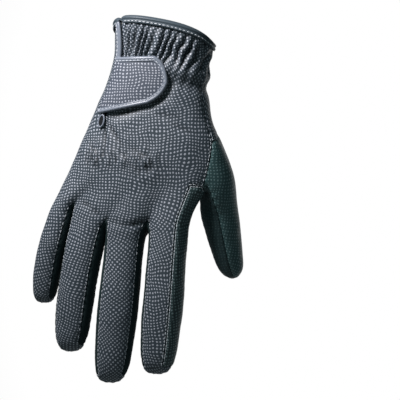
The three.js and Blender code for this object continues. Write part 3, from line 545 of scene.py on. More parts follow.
wander = np.array([noise.noise(Vector(place) / WANDER_SIZE) for place in smooth_skin])
fold_column = skin_column + PLEAT_LEAN * (skin_row - 1) + PLEAT_WANDER * wander
ridge = np.abs(np.cos(math.pi * fold_column))
pleat_wave = ridge ** PLEAT_SHARPNESS - 1 + PLEAT_OUTSIDE
pleat_share = two_steps(START_ROWS, START_SHARE) * (1 - two_steps(END_ROWS, END_SHARE))
uneven = 1 + UNEVEN["height"] * np.sin(UNEVEN["rate"] * skin_column + UNEVEN["start"])
uneven += UNEVEN["wander"] * np.roll(wander, 1) * np.sin(skin_column)
on_hand = smooth_step(skin_column, *SLIT_COLUMNS)
on_hand *= 1 - smooth_step(skin_column, LAST_PALM_COLUMN, LAST_PALM_COLUMN + 1)
clear_of_tab = smooth_step(skin_column, *TAB_END_COLUMNS)
folds = pleat_wave * pleat_share * uneven * PLEAT_DEPTH
folds += ROLL_HEIGHT * (hump(**ROLL) - hump(**DIP)) - ELASTIC_PULL * hump(**ELASTIC)
skin += smooth_normals * (folds * on_hand)[:, None]
# Painted shade: how much the leather's colour is darkened later, in the pleats' valleys and in the dip.
painted_fold_shade = np.clip(1 - ridge * PLEAT_SHADE_NARROW, 0, 1) * pleat_share * on_hand
painted_fold_shade = np.maximum(painted_fold_shade, DIP_SHADE * hump(**DIP) * on_hand)
print("deepest pleat, mm:", round(float(np.abs(skin - smooth_skin).max()) / MM, 2))

# %% [markdown]
# Worn leather never lies quite flat. These are the creases that catch the light on the back of the
# hand: below the end of the wrist slit, round the tab, across the middle, and above the crotches.
# Each is a valley between two points, shallower towards its ends, with a slight ridge on either
# side, and its valley is also painted darker, as shade. Millimetres, in x and z.

# %% Creases on the back of the hand
CREASES = [
    dict(x1=-33.1, z1=-51, x2=-33.5, z2=-67, width=1.2, depth=1.3),
    dict(x1=-32.5, z1=-50, x2=-21.5, z2=-66, width=1.2, depth=1.2),
    dict(x1=-31, z1=-48, x2=-5, z2=-42, width=2.4, depth=1.2),
    dict(x1=-5, z1=-42, x2=6, z2=-35, width=2.4, depth=1.1),
    dict(x1=6, z1=-35, x2=8, z2=-24, width=2.2, depth=0.7),
    dict(x1=-44, z1=-62, x2=-36.5, z2=-73, width=2.1, depth=0.6),
    dict(x1=-45.5, z1=-70, x2=-38.5, z2=-78, width=1.9, depth=0.5),
    dict(x1=-18, z1=-66, x2=-4.5, z2=-72.5, width=2.2, depth=0.6),
    dict(x1=-12, z1=-76, x2=2.5, z2=-79.5, width=2.0, depth=0.6),
    dict(x1=-20.5, z1=-73, x2=-12.5, z2=-81, width=1.9, depth=0.6),
    dict(x1=-32, z1=-109.5, x2=-19, z2=-113, width=2.0, depth=0.6),
    dict(x1=-20.5, z1=-113, x2=-7.5, z2=-110, width=1.6, depth=1.3),
    dict(x1=-49, z1=-98, x2=-37, z2=-106, width=1.7, depth=0.9),
    dict(x1=8, z1=-52, x2=22, z2=-58, width=2.5, depth=0.5),
    dict(x1=-2, z1=-46, x2=14, z2=-49, width=2.5, depth=0.5),
]
CREASE_END = 0.35
RIDGE = dict(height=0.12, away=2, width=1.1)
SHADE_NARROW = 2
FRONT_FACING = (0.1, 0.5)
faces_front = smooth_step(-smooth_normals[:, 1], *FRONT_FACING)
crease_height = np.zeros(len(skin))
for crease in CREASES:
    start = np.array([crease["x1"], crease["z1"]]) * MM
    span = np.array([crease["x2"], crease["z2"]]) * MM - start
    offset = smooth_skin[:, [0, 2]] - start
    share = np.clip(offset @ span / (span @ span), 0, 1)
    away = np.linalg.norm(offset - share[:, None] * span, axis=1) / (crease["width"] * MM)
    depth = crease["depth"] * (CREASE_END + (1 - CREASE_END) * np.sin(math.pi * share))
    side_ridge = RIDGE["height"] * np.exp(-((away - RIDGE["away"]) / RIDGE["width"]) ** 2)
    crease_height -= depth * MM * (np.exp(-away ** 2) - side_ridge)
    # Painted shade: the crease's valley is also darkened in the leather's colour.
    painted_fold_shade = np.maximum(painted_fold_shade, np.exp(-(SHADE_NARROW * away) ** 2) * depth * faces_front)
skin += smooth_normals * (crease_height * faces_front)[:, None]
print("deepest crease, mm:", round(float(crease_height.min()) / MM, 2))

# %% [markdown]
# A second, weaker elastic crosses the middle of the back. It crinkles the leather in patches, with
# small wrinkles that stand across it. Each patch is a soft oval, filled with noise that is drawn
# out along the wrinkles. Where the noise sinks, the colour is darkened too, as painted shade.

# %% Crinkles
CRINKLE_WIDTH = 2.3 * MM
CRINKLE_LENGTH = 5.5 * MM
CRINKLE_LEAN = 0.35
CRINKLE_SHADE = 1.5
CRINKLES = [
    dict(x=-40, z=-71, wide=9, high=7, depth=2.3),
    dict(x=-24, z=-73, wide=9, high=5, depth=1.5),
    dict(x=-8, z=-76, wide=8, high=8, depth=2.7),
    dict(x=-13, z=-110, wide=7, high=3, depth=0.5),
    dict(x=-43, z=-102, wide=6, high=3, depth=0.4),
]
crinkle_noise = np.array([
    noise.noise(Vector(((x + CRINKLE_LEAN * z) / CRINKLE_WIDTH, z / CRINKLE_LENGTH, 0)))
    for x, _, z in smooth_skin
])
crinkle_share = np.zeros(len(skin))
for patch in CRINKLES:
    sideways = (smooth_skin[:, 0] / MM - patch["x"]) / patch["wide"]
    upwards = (smooth_skin[:, 2] / MM - patch["z"]) / patch["high"]
    crinkle_share += patch["depth"] * np.exp(-sideways ** 2 - upwards ** 2)
skin += smooth_normals * (crinkle_noise * crinkle_share * MM * faces_front)[:, None]
crinkle_share *= faces_front / max(patch["depth"] for patch in CRINKLES)
# Painted shade: where the crinkles sink, the leather's colour is darkened.
painted_fold_shade = np.maximum(painted_fold_shade, np.clip(-CRINKLE_SHADE * crinkle_noise * crinkle_share, 0, 1))
print("points in a crinkled patch:", int((crinkle_share > 0).sum()))

# %% [markdown]
# Under the creases lies a slow unevenness, from slack leather over nothing but air. Three sizes of
# noise are added, the smallest one weakest.

# %% Slack leather
SLACK = [(22 * MM, 0.5 * MM), (9 * MM, 0.22 * MM), (4 * MM, 0.07 * MM)]
slack = np.zeros(len(skin))
for size, height in SLACK:
    slack += height * np.array([noise.noise(Vector(place) / size) for place in smooth_skin])
skin += smooth_normals * slack[:, None]
print("slack, mm:", round(float(slack.min()) / MM, 2), "to", round(float(slack.max()) / MM, 2))

# %% [markdown]
# Now the pieces are cut out. The back and the palm are one piece of leather, folded along the
# little finger's side, so along that fold its points are shared. Everywhere else a piece ends at a
# seam.

# %% Cutting a piece out of the skin
LITTLE_TIP = FINGER_HANG[0]["outer"] * HAND_LENGTH + FINGER_SECTIONS[-1]["along"] * FINGERS[0]["length"]
WRIST_HALF = HAND_SECTIONS[0]["half"] * KNUCKLE_WIDTH


def fold_line():
    """The skin's points along which the back turns into the palm without a seam."""
    back = np.unique(quads[quad_panels == PANELS.index("back")])
    palm = np.unique(quads[quad_panels == PANELS.index("palm")])
    shared = np.intersect1d(back, palm)
    place = smooth_skin[shared]
    return shared[(place[:, 2] > -LITTLE_TIP) & (place[:, 0] < -WRIST_HALF / 2)]


def cut(panels, folded=()):
    """The faces of these panels with points of their own, and the rim's loops of those points."""
    ids = [PANELS.index(panel) for panel in panels]
    chosen = np.isin(quad_panels, ids)
    corners = quads[chosen]
    owner = quad_panels[chosen][:, None] * len(skin)
    keys = np.where(np.isin(corners, folded), corners, corners + owner)
    unique, first, local = np.unique(keys, return_index=True, return_inverse=True)
    local = local.reshape(corners.shape)
    source = corners.ravel()[first]
    edges = {}
    for face in local.tolist():
        for k in range(4):
            edges[(face[k], face[(k + 1) % 4])] = True
    ahead = {a: b for a, b in edges if (b, a) not in edges}
    loops = []
    while ahead:
        loop = [next(iter(ahead))]
        while loop[-1] in ahead:
            loop.append(ahead.pop(loop[-1]))
        loops.append(loop[:-1])
    return source, local, loops


fold = fold_line()
print("points along the fold:", len(fold))

# %% [markdown]
# At a seam the edge of a piece sinks into a groove and puckers between the stitches, and the
# stitches pull the leather in. Each point finds the nearest place on the rim, and sinks the deeper
# the closer it is.

# %% Shaping the seams
SEAM_INSET = 0.12 * MM
GROOVE_DEPTH = 0.35 * MM
GROOVE_WIDTH = 1.1 * MM
PUCKER_DEPTH = 0.22 * MM
PUCKER_LENGTH = 4.6 * MM
PUCKER_REACH = 3.2 * MM
PUCKER_WANDER = 2
PUCKER_WANDER_LENGTH = 11 * MM


def shape_seams(places, normals, loops):
    """Sinks the edge of a piece into its seams, and puckers it."""
    rim = np.array([i for loop in loops for i in loop])
    along = np.concatenate([
        np.concatenate([[0], np.cumsum(np.linalg.norm(np.diff(places[loop], axis=0), axis=1))])
        for loop in loops
    ])
    tree = KDTree(len(rim))
    for k, i in enumerate(rim):
        tree.insert(places[i], k)
    tree.balance()
    nearest = np.array([tree.find(place)[1:] for place in places])
    from_rim = nearest[:, 1]
    rim_length = along[nearest[:, 0].astype(int)]
    wandering = PUCKER_WANDER * np.sin(rim_length / PUCKER_WANDER_LENGTH)
    wave = np.cos(2 * math.pi * rim_length / PUCKER_LENGTH + wandering)
    height = -GROOVE_DEPTH * np.exp(-(from_rim / GROOVE_WIDTH) ** 2)
    height += PUCKER_DEPTH * wave * np.exp(-from_rim / PUCKER_REACH)
    moved = places + normals * height[:, None]
    inwards = np.zeros_like(places)
    for loop in loops:
        here = np.array(loop)
        tangent = np.roll(places[here], -1, axis=0) - np.roll(places[here], 1, axis=0)
        inwards[here] = unit(np.cross(normals[here], tangent))
    return moved + inwards * SEAM_INSET


# %% [markdown]
# A piece is a sheet with the skin's outer shape. Its wall is added later, inwards, so the outside
# stays where it is. The sheet takes along how much shade is painted on each point in the folds,
# and how deep in a crinkle it lies.

# %% Sewing a piece
glove = {}


def add_mesh(name, places, corners):
    mesh = bpy.data.meshes.new(name)
    mesh.from_pydata([tuple(place) for place in places], [], [tuple(face) for face in corners])
    mesh.polygons.foreach_set("use_smooth", [True] * len(mesh.polygons))
    made = bpy.data.objects.new(name, mesh)
    scene.collection.objects.link(made)
    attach(made, "root")
    return made


def thicken(made, thickness):
    wall = made.modifiers.new("wall", "SOLIDIFY")
    wall.thickness = thickness
    wall.offset = -1
    wall.material_offset = 1


def sew(name, panels, nodes, thickness, folded=()):
    source, corners, loops = cut(panels, folded)
    places = shape_seams(skin[source], smooth_normals[source], loops)
    made = add_mesh(name, places, corners)
    for label, values in (("painted_shade", painted_fold_shade), ("crinkle", crinkle_share)):
        made.data.attributes.new(label, "FLOAT", "POINT").data.foreach_set("value", values[source])
    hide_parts(*nodes)
    glove[name] = dict(object=made, places=places, source=source, loops=loops, thickness=thickness)
    print(f"{name}: {len(corners)} faces, {len(loops)} rim(s)")
    return made


# %% [markdown]
# The eight pieces of the hand. The gussets are cloth, a little thinner than the leather.

# %% The pieces of the hand
hand = sew("hand", ["back", "palm"], ["back_panel", "palm_panel"], LEATHER, fold)
index_side = sew("index_side", ["index_side"], ["index_side_panel"], LEATHER)
thumb = sew("thumb", ["thumb"], ["thumb_panel"], LEATHER)
thumb_gusset = sew("thumb_gusset", ["thumb_gusset"], ["thumb_gusset"], GUSSET_CLOTH)
gussets = [sew(name, [name], [name], GUSSET_CLOTH) for name in GUSSETS]

# %% [markdown]
# The leather's pattern must lie on it as it did when the leather was flat, so each piece is
# unrolled. Its flat copy is then scaled until its area is that of the piece, which makes one unit
# of the pattern one metre.

# %% Unrolling the leather
UNROLL_STEPS = 15


def unroll(made):
    made.data.uv_layers.new(name="flat")
    bpy.ops.object.select_all(action="DESELECT")
    made.select_set(True)
    bpy.context.view_layer.objects.active = made
    bpy.ops.object.mode_set(mode="EDIT")
    bpy.ops.mesh.select_all(action="SELECT")
    bpy.ops.uv.unwrap(method="MINIMUM_STRETCH", fill_holes=True, iterations=UNROLL_STEPS, margin=0)
    bpy.ops.object.mode_set(mode="OBJECT")
    mesh = made.data
    flat = read(mesh.uv_layers["flat"].data, "uv", 2)
    loops = read(mesh.loops, "vertex_index", 1, np.int64)
    corners = flat.reshape(-1, 4, 2)
    one, two = corners[:, 2] - corners[:, 0], corners[:, 3] - corners[:, 1]
    flat_area = np.abs(one[:, 0] * two[:, 1] - one[:, 1] * two[:, 0]) / 2
    real_area = read(mesh.polygons, "area", 1)
    flat *= math.sqrt(real_area.sum() / flat_area.sum())
    places = read(mesh.vertices, "co", 3)[loops][:, [0, 2]]
    centred, target = flat - flat.mean(axis=0), places - places.mean(axis=0)
    turn = math.atan2(
        (centred[:, 0] * target[:, 1] - centred[:, 1] * target[:, 0]).sum(),
        (centred * target).sum(),
    )
    rotation = np.array([[math.cos(turn), math.sin(turn)], [-math.sin(turn), math.cos(turn)]])
    mesh.uv_layers["flat"].data.foreach_set("uv", (centred @ rotation).ravel())
    stretch = np.sqrt(flat_area / real_area * real_area.sum() / flat_area.sum())
    low, middle, high = np.percentile(stretch, [5, 50, 95])
    print(f"{made.name}: pattern scale {low:.2f} to {high:.2f}, middle {middle:.2f}")


for made in (hand, index_side, thumb, thumb_gusset):
    unroll(made)

# %% [markdown]
# The binding of the cuff is a strip of smooth leather folded over the raw edge: a round roll on
# top, a sewn band below. Its profile is carried round the wrist, from one side of the slit to the
# other. For each point of the edge we need the way out and the way down.

# %% Carrying a profile along a path


def sweep(name, stations, profile, closed=False):
    """stations are (place, out, down) rows, and profile points are (out, down) in metres."""
    count = len(profile)
    places = [
        place + out * u + down * v
        for place, out, down in stations
        for u, v in profile
    ]
    spans = len(stations) if closed else len(stations) - 1
    corners = []
    for k in range(spans):
        here, there = k * count, (k + 1) % len(stations) * count
        for i in range(count):
            j = (i + 1) % count
            corners.append((here + i, here + j, there + j, there + i))
    if not closed:
        corners.append(tuple(range(count)))
        corners.append(tuple(range(len(places) - 1, len(places) - 1 - count, -1)))
    return add_mesh(name, places, corners)


def open_edge():
    edges = {}
    for face in quads.tolist():
        for k in range(4):
            edges[(face[k], face[(k + 1) % 4])] = True
    return {a: b for a, b in edges if (b, a) not in edges}


def walk(ahead, start, end):
    path = [start]
    while path[-1] != end:
        path.append(ahead[path[-1]])
    return path


edge_ahead = open_edge()
cuff_path = walk(edge_ahead, rows[0]["slit_edge"], rows[0]["back"][0])
print("points round the cuff:", len(cuff_path))

# %% [markdown]
# The roll stands a little proud of the band. Between them runs the line where the strip was folded.

# %% Cuff binding
BINDING_OUTSIDE = 3.3 * MM
BINDING_INSIDE = 2.6 * MM
LEG_OUT = 1.2 * MM
LEG_IN = -LEATHER - 1.2 * MM
CUFF_PROFILE = [
    (0.3 * MM, BINDING_OUTSIDE), (LEG_OUT * 0.8, BINDING_OUTSIDE + 0.1 * MM), (LEG_OUT, 3.0 * MM),
    (LEG_OUT * 1.05, 2.2 * MM), (LEG_OUT, 1.5 * MM), (LEG_OUT * 0.75, 1.15 * MM),
    (LEG_OUT * 1.15, 0.8 * MM), (LEG_OUT * 1.25, 0.2 * MM), (LEG_OUT * 0.9, -0.5 * MM),
    (0.2 * MM, -1.0 * MM), (-0.6 * MM, -1.2 * MM), (-1.4 * MM, -1.0 * MM),
    (LEG_IN, -0.3 * MM), (LEG_IN, BINDING_INSIDE), (-LEATHER - 0.3 * MM, BINDING_INSIDE),
    (-LEATHER - 0.2 * MM, -0.2 * MM), (0.2 * MM, -0.2 * MM),
]


def edge_stations(path):
    here = np.array(path)
    places = smooth_skin[here]
    tangent = np.gradient(places, axis=0)
    out = smooth_normals[here]
    down = unit(np.cross(out, tangent))
    return [(Vector(p), Vector(o), Vector(d)) for p, o, d in zip(places, out, down)]


cuff_stations = edge_stations(cuff_path)
cuff_binding = sweep("cuff_binding", cuff_stations, CUFF_PROFILE)
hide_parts("cuff_binding")

# %% [markdown]
# The tab lies over the back of the hand. To lay it there we need the depth of the back at any
# place, which follows from the hand's sections, and the line of the slit, where the tab starts.

# %% The surface that the tab lies on
DEPTH_TRIES = 12
WIDEST = 0.97
PROBE = 0.5 * MM


def section_at(along):
    r = max((k for k in range(len(HAND_SECTIONS) - 1) if HAND_SECTIONS[k]["along"] <= along), default=0)
    a, b = HAND_SECTIONS[r], HAND_SECTIONS[r + 1]
    share = (along - a["along"]) / (b["along"] - a["along"])
    return {key: a[key] + (b[key] - a[key]) * share for key in ("shift", "half", "back", "tilt")}


def back_depth(x, z):
    along, depth = -z / HAND_LENGTH, 0
    for _ in range(DEPTH_TRIES):
        section = section_at(along)
        half = section["half"] * KNUCKLE_WIDTH
        tilt = math.radians(section["tilt"])
        across = (x - section["shift"] * KNUCKLE_WIDTH) / (half * math.cos(tilt))
        across = max(-WIDEST, min(WIDEST, across))
        round_off = (1 - abs(across) ** SECTION_POWER) ** (1 / SECTION_POWER)
        arch = CUFF_ARCH * max(0, 1 - along / ARCH_FADE) * round_off
        along = (arch - z - across * half * math.sin(tilt)) / HAND_LENGTH
        depth = section["back"] * KNUCKLE_DEPTH * round_off
    return -depth


def out_of_back(x, z):
    depth = back_depth(x, z)
    sideways = (back_depth(x + PROBE, z) - depth) / PROBE
    upwards = (back_depth(x, z + PROBE) - depth) / PROBE
    return Vector((sideways, -1, upwards)).normalized()


def on_back(flat, height):
    x, z = flat
    return Vector((x, back_depth(x, z), z)) + out_of_back(x, z) * height


def slit_x(z):
    edge = [smooth_skin[row["slit_edge"]] for row in rows[:KEYHOLE_ROW + 1]]
    r = max((k for k in range(len(edge) - 1) if edge[k][2] >= z), default=0)
    share = (z - edge[r][2]) / (edge[r + 1][2] - edge[r][2])
    return edge[r][0] + share * (edge[r + 1][0] - edge[r][0])


print("depth of the back at its middle, mm:", round(back_depth(0, -0.03) / MM, 1))

# %% [markdown]
# The tab has the same outline as its solid: straight along the top, round at its free side, and
# straight back along the bottom.

# %% Outline of the tab
TAB_LENGTH = 36.6 * MM
TAB_HEIGHT = 33.5 * MM
TAB_THICKNESS = 1.5 * MM
TAB_EDGING_WIDTH = 2.8 * MM
TAB_EDGING_THICKNESS = 2.1 * MM
TAB_TOP = 12.5 * MM
TAB_SETBACK = 2.2 * MM
TAB_LIFT = 0.7 * MM
TAB_SIDE = [
    dict(down=-0.005, out=0.66), dict(down=0.09, out=0.765), dict(down=0.24, out=0.83),
    dict(down=0.45, out=0.86), dict(down=0.6, out=0.8), dict(down=0.73, out=0.69),
    dict(down=0.83, out=0.53),
]
SIDE_STEPS = 6
EDGE_STEPS = 24


def tab_base(share):
    z = -TAB_TOP - share * TAB_HEIGHT
    return Vector((slit_x(z) - TAB_SETBACK, z))


def curve_through(knots, steps):
    """Points of a smooth curve through the knots."""
    ends = [knots[0]] + knots + [knots[-1]]
    made = []
    for a, b, c, d in zip(ends, ends[1:], ends[2:], ends[3:]):
        for k in range(steps):
            t = k / steps
            made.append((b * 2 + (c - a) * t + (a * 2 - b * 5 + c * 4 - d) * t ** 2
                         + (b * 3 - a - c * 3 + d) * t ** 3) / 2)
    return made + [knots[-1]]


tab_corner = tab_base(0)
side_knots = [
    tab_corner + Vector((row["out"] * TAB_LENGTH, -row["down"] * TAB_HEIGHT)) for row in TAB_SIDE
]
tab_side = curve_through(side_knots, SIDE_STEPS)
tab_top_edge = [tab_base(0).lerp(tab_side[0], k / EDGE_STEPS) for k in range(EDGE_STEPS)]
tab_low_edge = [tab_side[-1].lerp(tab_base(1), (k + 1) / EDGE_STEPS) for k in range(EDGE_STEPS)]
tab_outline = tab_top_edge + tab_side + tab_low_edge


def inward_2d(path, i):
    along = (path[min(i + 1, len(path) - 1)] - path[max(i - 1, 0)]).normalized()
    return Vector((along.y, -along.x))


tab_inwards = [inward_2d(tab_outline, i) for i in range(len(tab_outline))]
print("points round the tab:", len(tab_outline))

# %% [markdown]
# The plate of the tab is a sheet between its base and its free side, slightly domed. The edging is
# a padded band with a stitched groove, swept round the three free sides.

# %% Tab and edging
TAB_COLUMNS = 30
TAB_DOME = 0.5 * MM
PLATE_OVERLAP = 0.9 * MM
plate_inset = TAB_EDGING_WIDTH - PLATE_OVERLAP
plate = []
for k in range(len(tab_side)):
    down = k / (len(tab_side) - 1)
    margin = plate_inset / TAB_HEIGHT
    start = tab_base(margin + (1 - 2 * margin) * down)
    end = tab_side[k] + tab_inwards[EDGE_STEPS + k] * plate_inset
    for c in range(TAB_COLUMNS + 1):
        share = c / TAB_COLUMNS
        dome = TAB_DOME * math.sin(math.pi * down) * (1 - (2 * share - 1) ** 4)
        plate.append(on_back(start.lerp(end, share), TAB_LIFT + TAB_THICKNESS + dome))
width = TAB_COLUMNS + 1
plate_faces = [
    (a, a + width, a + width + 1, a + 1)
    for k in range(len(tab_side) - 1)
    for a in range(k * width, k * width + TAB_COLUMNS)
]
tab = add_mesh("closure_tab", plate, plate_faces)
unroll(tab)
thicken(tab, TAB_THICKNESS)
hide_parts("closure_tab")
EDGING_PROFILE = [
    (0, 0), (-0.08, 0.5), (0.1, 0.88), (0.3, 1.04), (0.55, 1.0), (0.68, 0.84), (0.78, 0.94),
    (0.92, 0.94), (1.0, 0.8), (1.0, 0),
]


def flat_stations(path, inwards, lift):
    """Stations along a path on the back of the hand: profiles go inwards first, then out."""
    made = []
    for point, inward in zip(path, inwards):
        place = on_back(point, lift)
        across = on_back(point + inward * MM, lift) - place
        made.append((place, across.normalized(), out_of_back(*point)))
    return made


edging_stations = flat_stations(tab_outline, tab_inwards, TAB_LIFT)
edging = sweep(
    "tab_edging", edging_stations,
    [(u * TAB_EDGING_WIDTH, v * TAB_EDGING_THICKNESS) for u, v in EDGING_PROFILE],
)
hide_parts("tab_edging")

# %% [markdown]
# The slit's own binding runs down its palm side, from the cuff into the tab's edging.

# %% Slit binding
SLIT_BAND_OVERLAP = 2.5 * MM
edge_behind = {b: a for a, b in edge_ahead.items()}
slit_path = walk(edge_behind, rows[0]["slit_edge"], rows[KEYHOLE_ROW]["back"][0])
slit_path = [i for i in slit_path if smooth_skin[i][2] > -TAB_TOP - SLIT_BAND_OVERLAP]
slit_places = smooth_skin[slit_path]
slit_stations = []
for i, (place, tangent) in enumerate(zip(slit_places, np.gradient(slit_places, axis=0))):
    out = Vector(smooth_normals[slit_path[i]])
    side = out.cross(Vector(tangent)).normalized()
    slit_stations.append((Vector(place), out, side if side.x < 0 else -side))
SLIT_PROFILE = [
    (0.2, -0.1), (0.9, -0.15), (1.5, 0.3), (1.7, 1.0), (1.5, 1.7), (1.15, 2.0), (1.4, 2.4),
    (1.35, 3.4), (1.0, 4.1), (0.3, 4.3), (0.25, 2.0),
]
slit_binding = sweep("slit_binding", slit_stations, [(u * MM, v * MM) for u, v in SLIT_PROFILE])
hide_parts("slit_binding")

# %% [markdown]
# A small stiff loop ends the slit below the tab. Inside it we look into the shade inside the glove,
# so a flat dark patch closes it: a painted shadow in the lining's colour.

# %% Slit loop
LOOP_LENGTH = 8.4 * MM
LOOP_WIDTH = 4.6 * MM
LOOP_THICKNESS = 1.1 * MM
LOOP_GAP = 0.3 * MM
LOOP_STATIONS = 48
LOOP_SIDES = 12
loop_top = tab_base(1)
slit_lean = Vector((slit_x(loop_top.y - LOOP_LENGTH) - slit_x(loop_top.y), -LOOP_LENGTH)).normalized()
loop_centre = Vector((slit_x(loop_top.y), loop_top.y)) + slit_lean * (LOOP_LENGTH / 2 + LOOP_GAP)
loop_across = Vector((-slit_lean.y, slit_lean.x))
loop_path = []
loop_inwards = []
for k in range(LOOP_STATIONS):
    angle = k / LOOP_STATIONS * 2 * math.pi
    spoke = slit_lean * math.cos(angle) + loop_across * math.sin(angle)
    loop_path.append(
        loop_centre
        + slit_lean * ((LOOP_LENGTH - LOOP_THICKNESS) / 2 * math.cos(angle))
        + loop_across * ((LOOP_WIDTH - LOOP_THICKNESS) / 2 * math.sin(angle))
    )
    loop_inwards.append(-spoke)
loop_profile = [
    (LOOP_THICKNESS / 2 * math.cos(a), LOOP_THICKNESS / 2 * math.sin(a))
    for a in (i / LOOP_SIDES * 2 * math.pi for i in range(LOOP_SIDES))
]
loop_stations = flat_stations(loop_path, loop_inwards, LOOP_GAP + LOOP_THICKNESS / 2)
slit_loop = sweep("slit_loop", loop_stations, loop_profile, closed=True)
# A painted shadow: a flat patch in the lining's dark colour fills the loop.
hole = add_mesh("slit_hole_shadow", [place for place, _, _ in loop_stations], [range(LOOP_STATIONS)])
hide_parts("slit_loop")

# %% [markdown]
# The glove is sewn with a pale thread. A stitch is a small rounded capsule that half sinks into the
# leather, and all stitches of a kind are one mesh.

# %% Stitches
STITCH_LENGTH = 1.7 * MM
STITCH_WIDTH = 0.44 * MM
CAPSULE_SIDES = 6
CAPSULE_RINGS = [(-0.5, 0.35), (-0.36, 0.9), (0, 1.0), (0.36, 0.9), (0.5, 0.35)]


def capsules(name, seats):
    """One mesh of stitches, one for each (place, along, out) in seats."""
    places, corners = [], []
    for place, along, out in seats:
        across = along.cross(out)
        base = len(places)
        for share, size in CAPSULE_RINGS:
            for i in range(CAPSULE_SIDES):
                angle = i / CAPSULE_SIDES * 2 * math.pi
                spoke = across * math.cos(angle) + out * math.sin(angle)
                places.append(place + along * share * STITCH_LENGTH + spoke * size * STITCH_WIDTH / 2)
        for ring in range(len(CAPSULE_RINGS) - 1):
            for i in range(CAPSULE_SIDES):
                j = (i + 1) % CAPSULE_SIDES
                low, high = base + ring * CAPSULE_SIDES, base + (ring + 1) * CAPSULE_SIDES
                corners.append((low + i, low + j, high + j, high + i))
        corners.append(tuple(base + i for i in range(CAPSULE_SIDES - 1, -1, -1)))
        last = base + (len(CAPSULE_RINGS) - 1) * CAPSULE_SIDES
        corners.append(tuple(last + i for i in range(CAPSULE_SIDES)))
    made = add_mesh(name, places, corners)
    print(f"{name}: {len(seats)} stitches")
    return made


def spaced(path, pitch):
    """Places every pitch along a path, with the direction there."""
    lengths = np.linalg.norm(np.diff(path, axis=0), axis=1)
    total = np.concatenate([[0], np.cumsum(lengths)])
    marks = np.arange(pitch / 2, total[-1], pitch)


    def at(length):
        return Vector([np.interp(length, total, path[:, k]) for k in range(3)])

    return [(at(mark), (at(mark + pitch / 4) - at(mark)).normalized()) for mark in marks]


# %% [markdown]
# Along the seams we follow each rim of the hand piece, step a little in from it, drop every stitch
# onto the leather, and turn it along the seam. The side of the index finger has a tighter line
# close to its edge. No stitch shows at the open edges, round the fingertips, or at the wrist on
# the thumb's side.

# %% Seam stitches
STITCH_PITCH = 2.5 * MM
STITCH_MARGIN = 0.75 * MM
TIGHT_PITCH = 1.9 * MM
TIGHT_MARGIN = 0.4 * MM
OPEN_EDGE_CLEAR = 4.5 * MM
THUMB_SEAM_TOP = -58 * MM
TIP_FACING = -0.45


def tree_of(places):
    tree = KDTree(len(places))
    for k, place in enumerate(places):
        tree.insert(place, k)
    tree.balance()
    return tree


def seam_seats(piece, margin, pitch):
    """Seats for stitches all along the sewn rims of a piece."""
    mesh = glove[piece]["object"].data
    corners = [face.vertices[:] for face in mesh.polygons]
    tree = BVHTree.FromPolygons([vertex.co.copy() for vertex in mesh.vertices], corners)
    seats = []
    for loop in glove[piece]["loops"]:
        here = np.array(loop + loop[:1])
        for place, along in spaced(glove[piece]["places"][here], pitch):
            surface, normal, _, _ = tree.find_nearest(place)
            inward = normal.cross(along).normalized()
            target = surface + inward * margin
            seat, out, _, _ = tree.find_nearest(target)
            if (seat - target).length < STITCH_MARGIN:
                seats.append((seat, (along - out * along.dot(out)).normalized(), out))
    return seats


open_tree = tree_of([smooth_skin[i] for i in edge_ahead])


def shows(place, out):
    at_wrist_thumb_side = place.x >= 0 and place.z >= THUMB_SEAM_TOP
    return open_tree.find(place)[2] > OPEN_EDGE_CLEAR and not at_wrist_thumb_side and out.z > TIP_FACING


seats = seam_seats("hand", STITCH_MARGIN, STITCH_PITCH)
seats += seam_seats("index_side", TIGHT_MARGIN, TIGHT_PITCH)
seam_stitches = capsules("seam_stitches", [seat for seat in seats if shows(seat[0], seat[2])])

# %% [markdown]
# The bands have one line of brighter stitches each. A line lies at a fixed place of the profile that
# was swept, so it follows from the same stations.

# %% Band stitches
CUFF_LINE = (LEG_OUT * 1.05, 2.3 * MM)
SLIT_LINE = (1.4 * MM, 2.9 * MM)
EDGING_LINE = (0.72 * TAB_EDGING_WIDTH, 0.84 * TAB_EDGING_THICKNESS)


def band_seats(stations, line):
    out, down = line
    path = np.array([place + o * out + d * down for place, o, d in stations])
    tree = tree_of(path)
    return [
        (place, along, stations[tree.find(place)[1]][1])
        for place, along in spaced(path, STITCH_PITCH)
    ]


edging_seats = [
    (place, along, out_of_back(place.x, place.z))
    for place, along, _ in band_seats(edging_stations, EDGING_LINE)
]
band_stitches = capsules(
    "band_stitches",
    band_seats(cuff_stations, CUFF_LINE) + band_seats(slit_stations, SLIT_LINE) + edging_seats,
)

# %% [markdown]
# Finishes are built from shader nodes. These helpers make one node each and return its result, so
# that a material reads like a formula. Any value may be a number or another node's result.

# %% Helpers for materials


def linear(red, green, blue):
    """A colour as a shader wants it, from the 0 to 255 steps that a screen shows."""
    return tuple(((c / 255 + 0.055) / 1.055) ** 2.4 for c in (red, green, blue)) + (1,)


def new_material(name, colour, roughness, specular=0.5):
    made = bpy.data.materials.new(name)
    made.use_nodes = True
    shader = made.node_tree.nodes["Principled BSDF"]
    shader.inputs["Base Color"].default_value = colour
    shader.inputs["Roughness"].default_value = roughness
    shader.inputs["Specular IOR Level"].default_value = specular
    return made, made.node_tree, shader


def add_node(tree, kind, **values):
    """A node with its inputs set by name, or linked where the value is a socket."""
    node = tree.nodes.new(kind)
    for key, value in values.items():
        if key in node.inputs:
            feed(tree, node.inputs[key], value)
        else:
            setattr(node, key, value)
    return node


def feed(tree, socket, value):
    if isinstance(value, bpy.types.NodeSocket):
        tree.links.new(value, socket)
    else:
        socket.default_value = value


def maths(tree, kind, operation, first, second, **values):
    """An operation on two values, or on two vectors when kind is VectorMath."""
    node = add_node(tree, "ShaderNode" + kind, operation=operation, **values)
    feed(tree, node.inputs[0], first)
    feed(tree, node.inputs[1], second)
    return node.outputs[0]


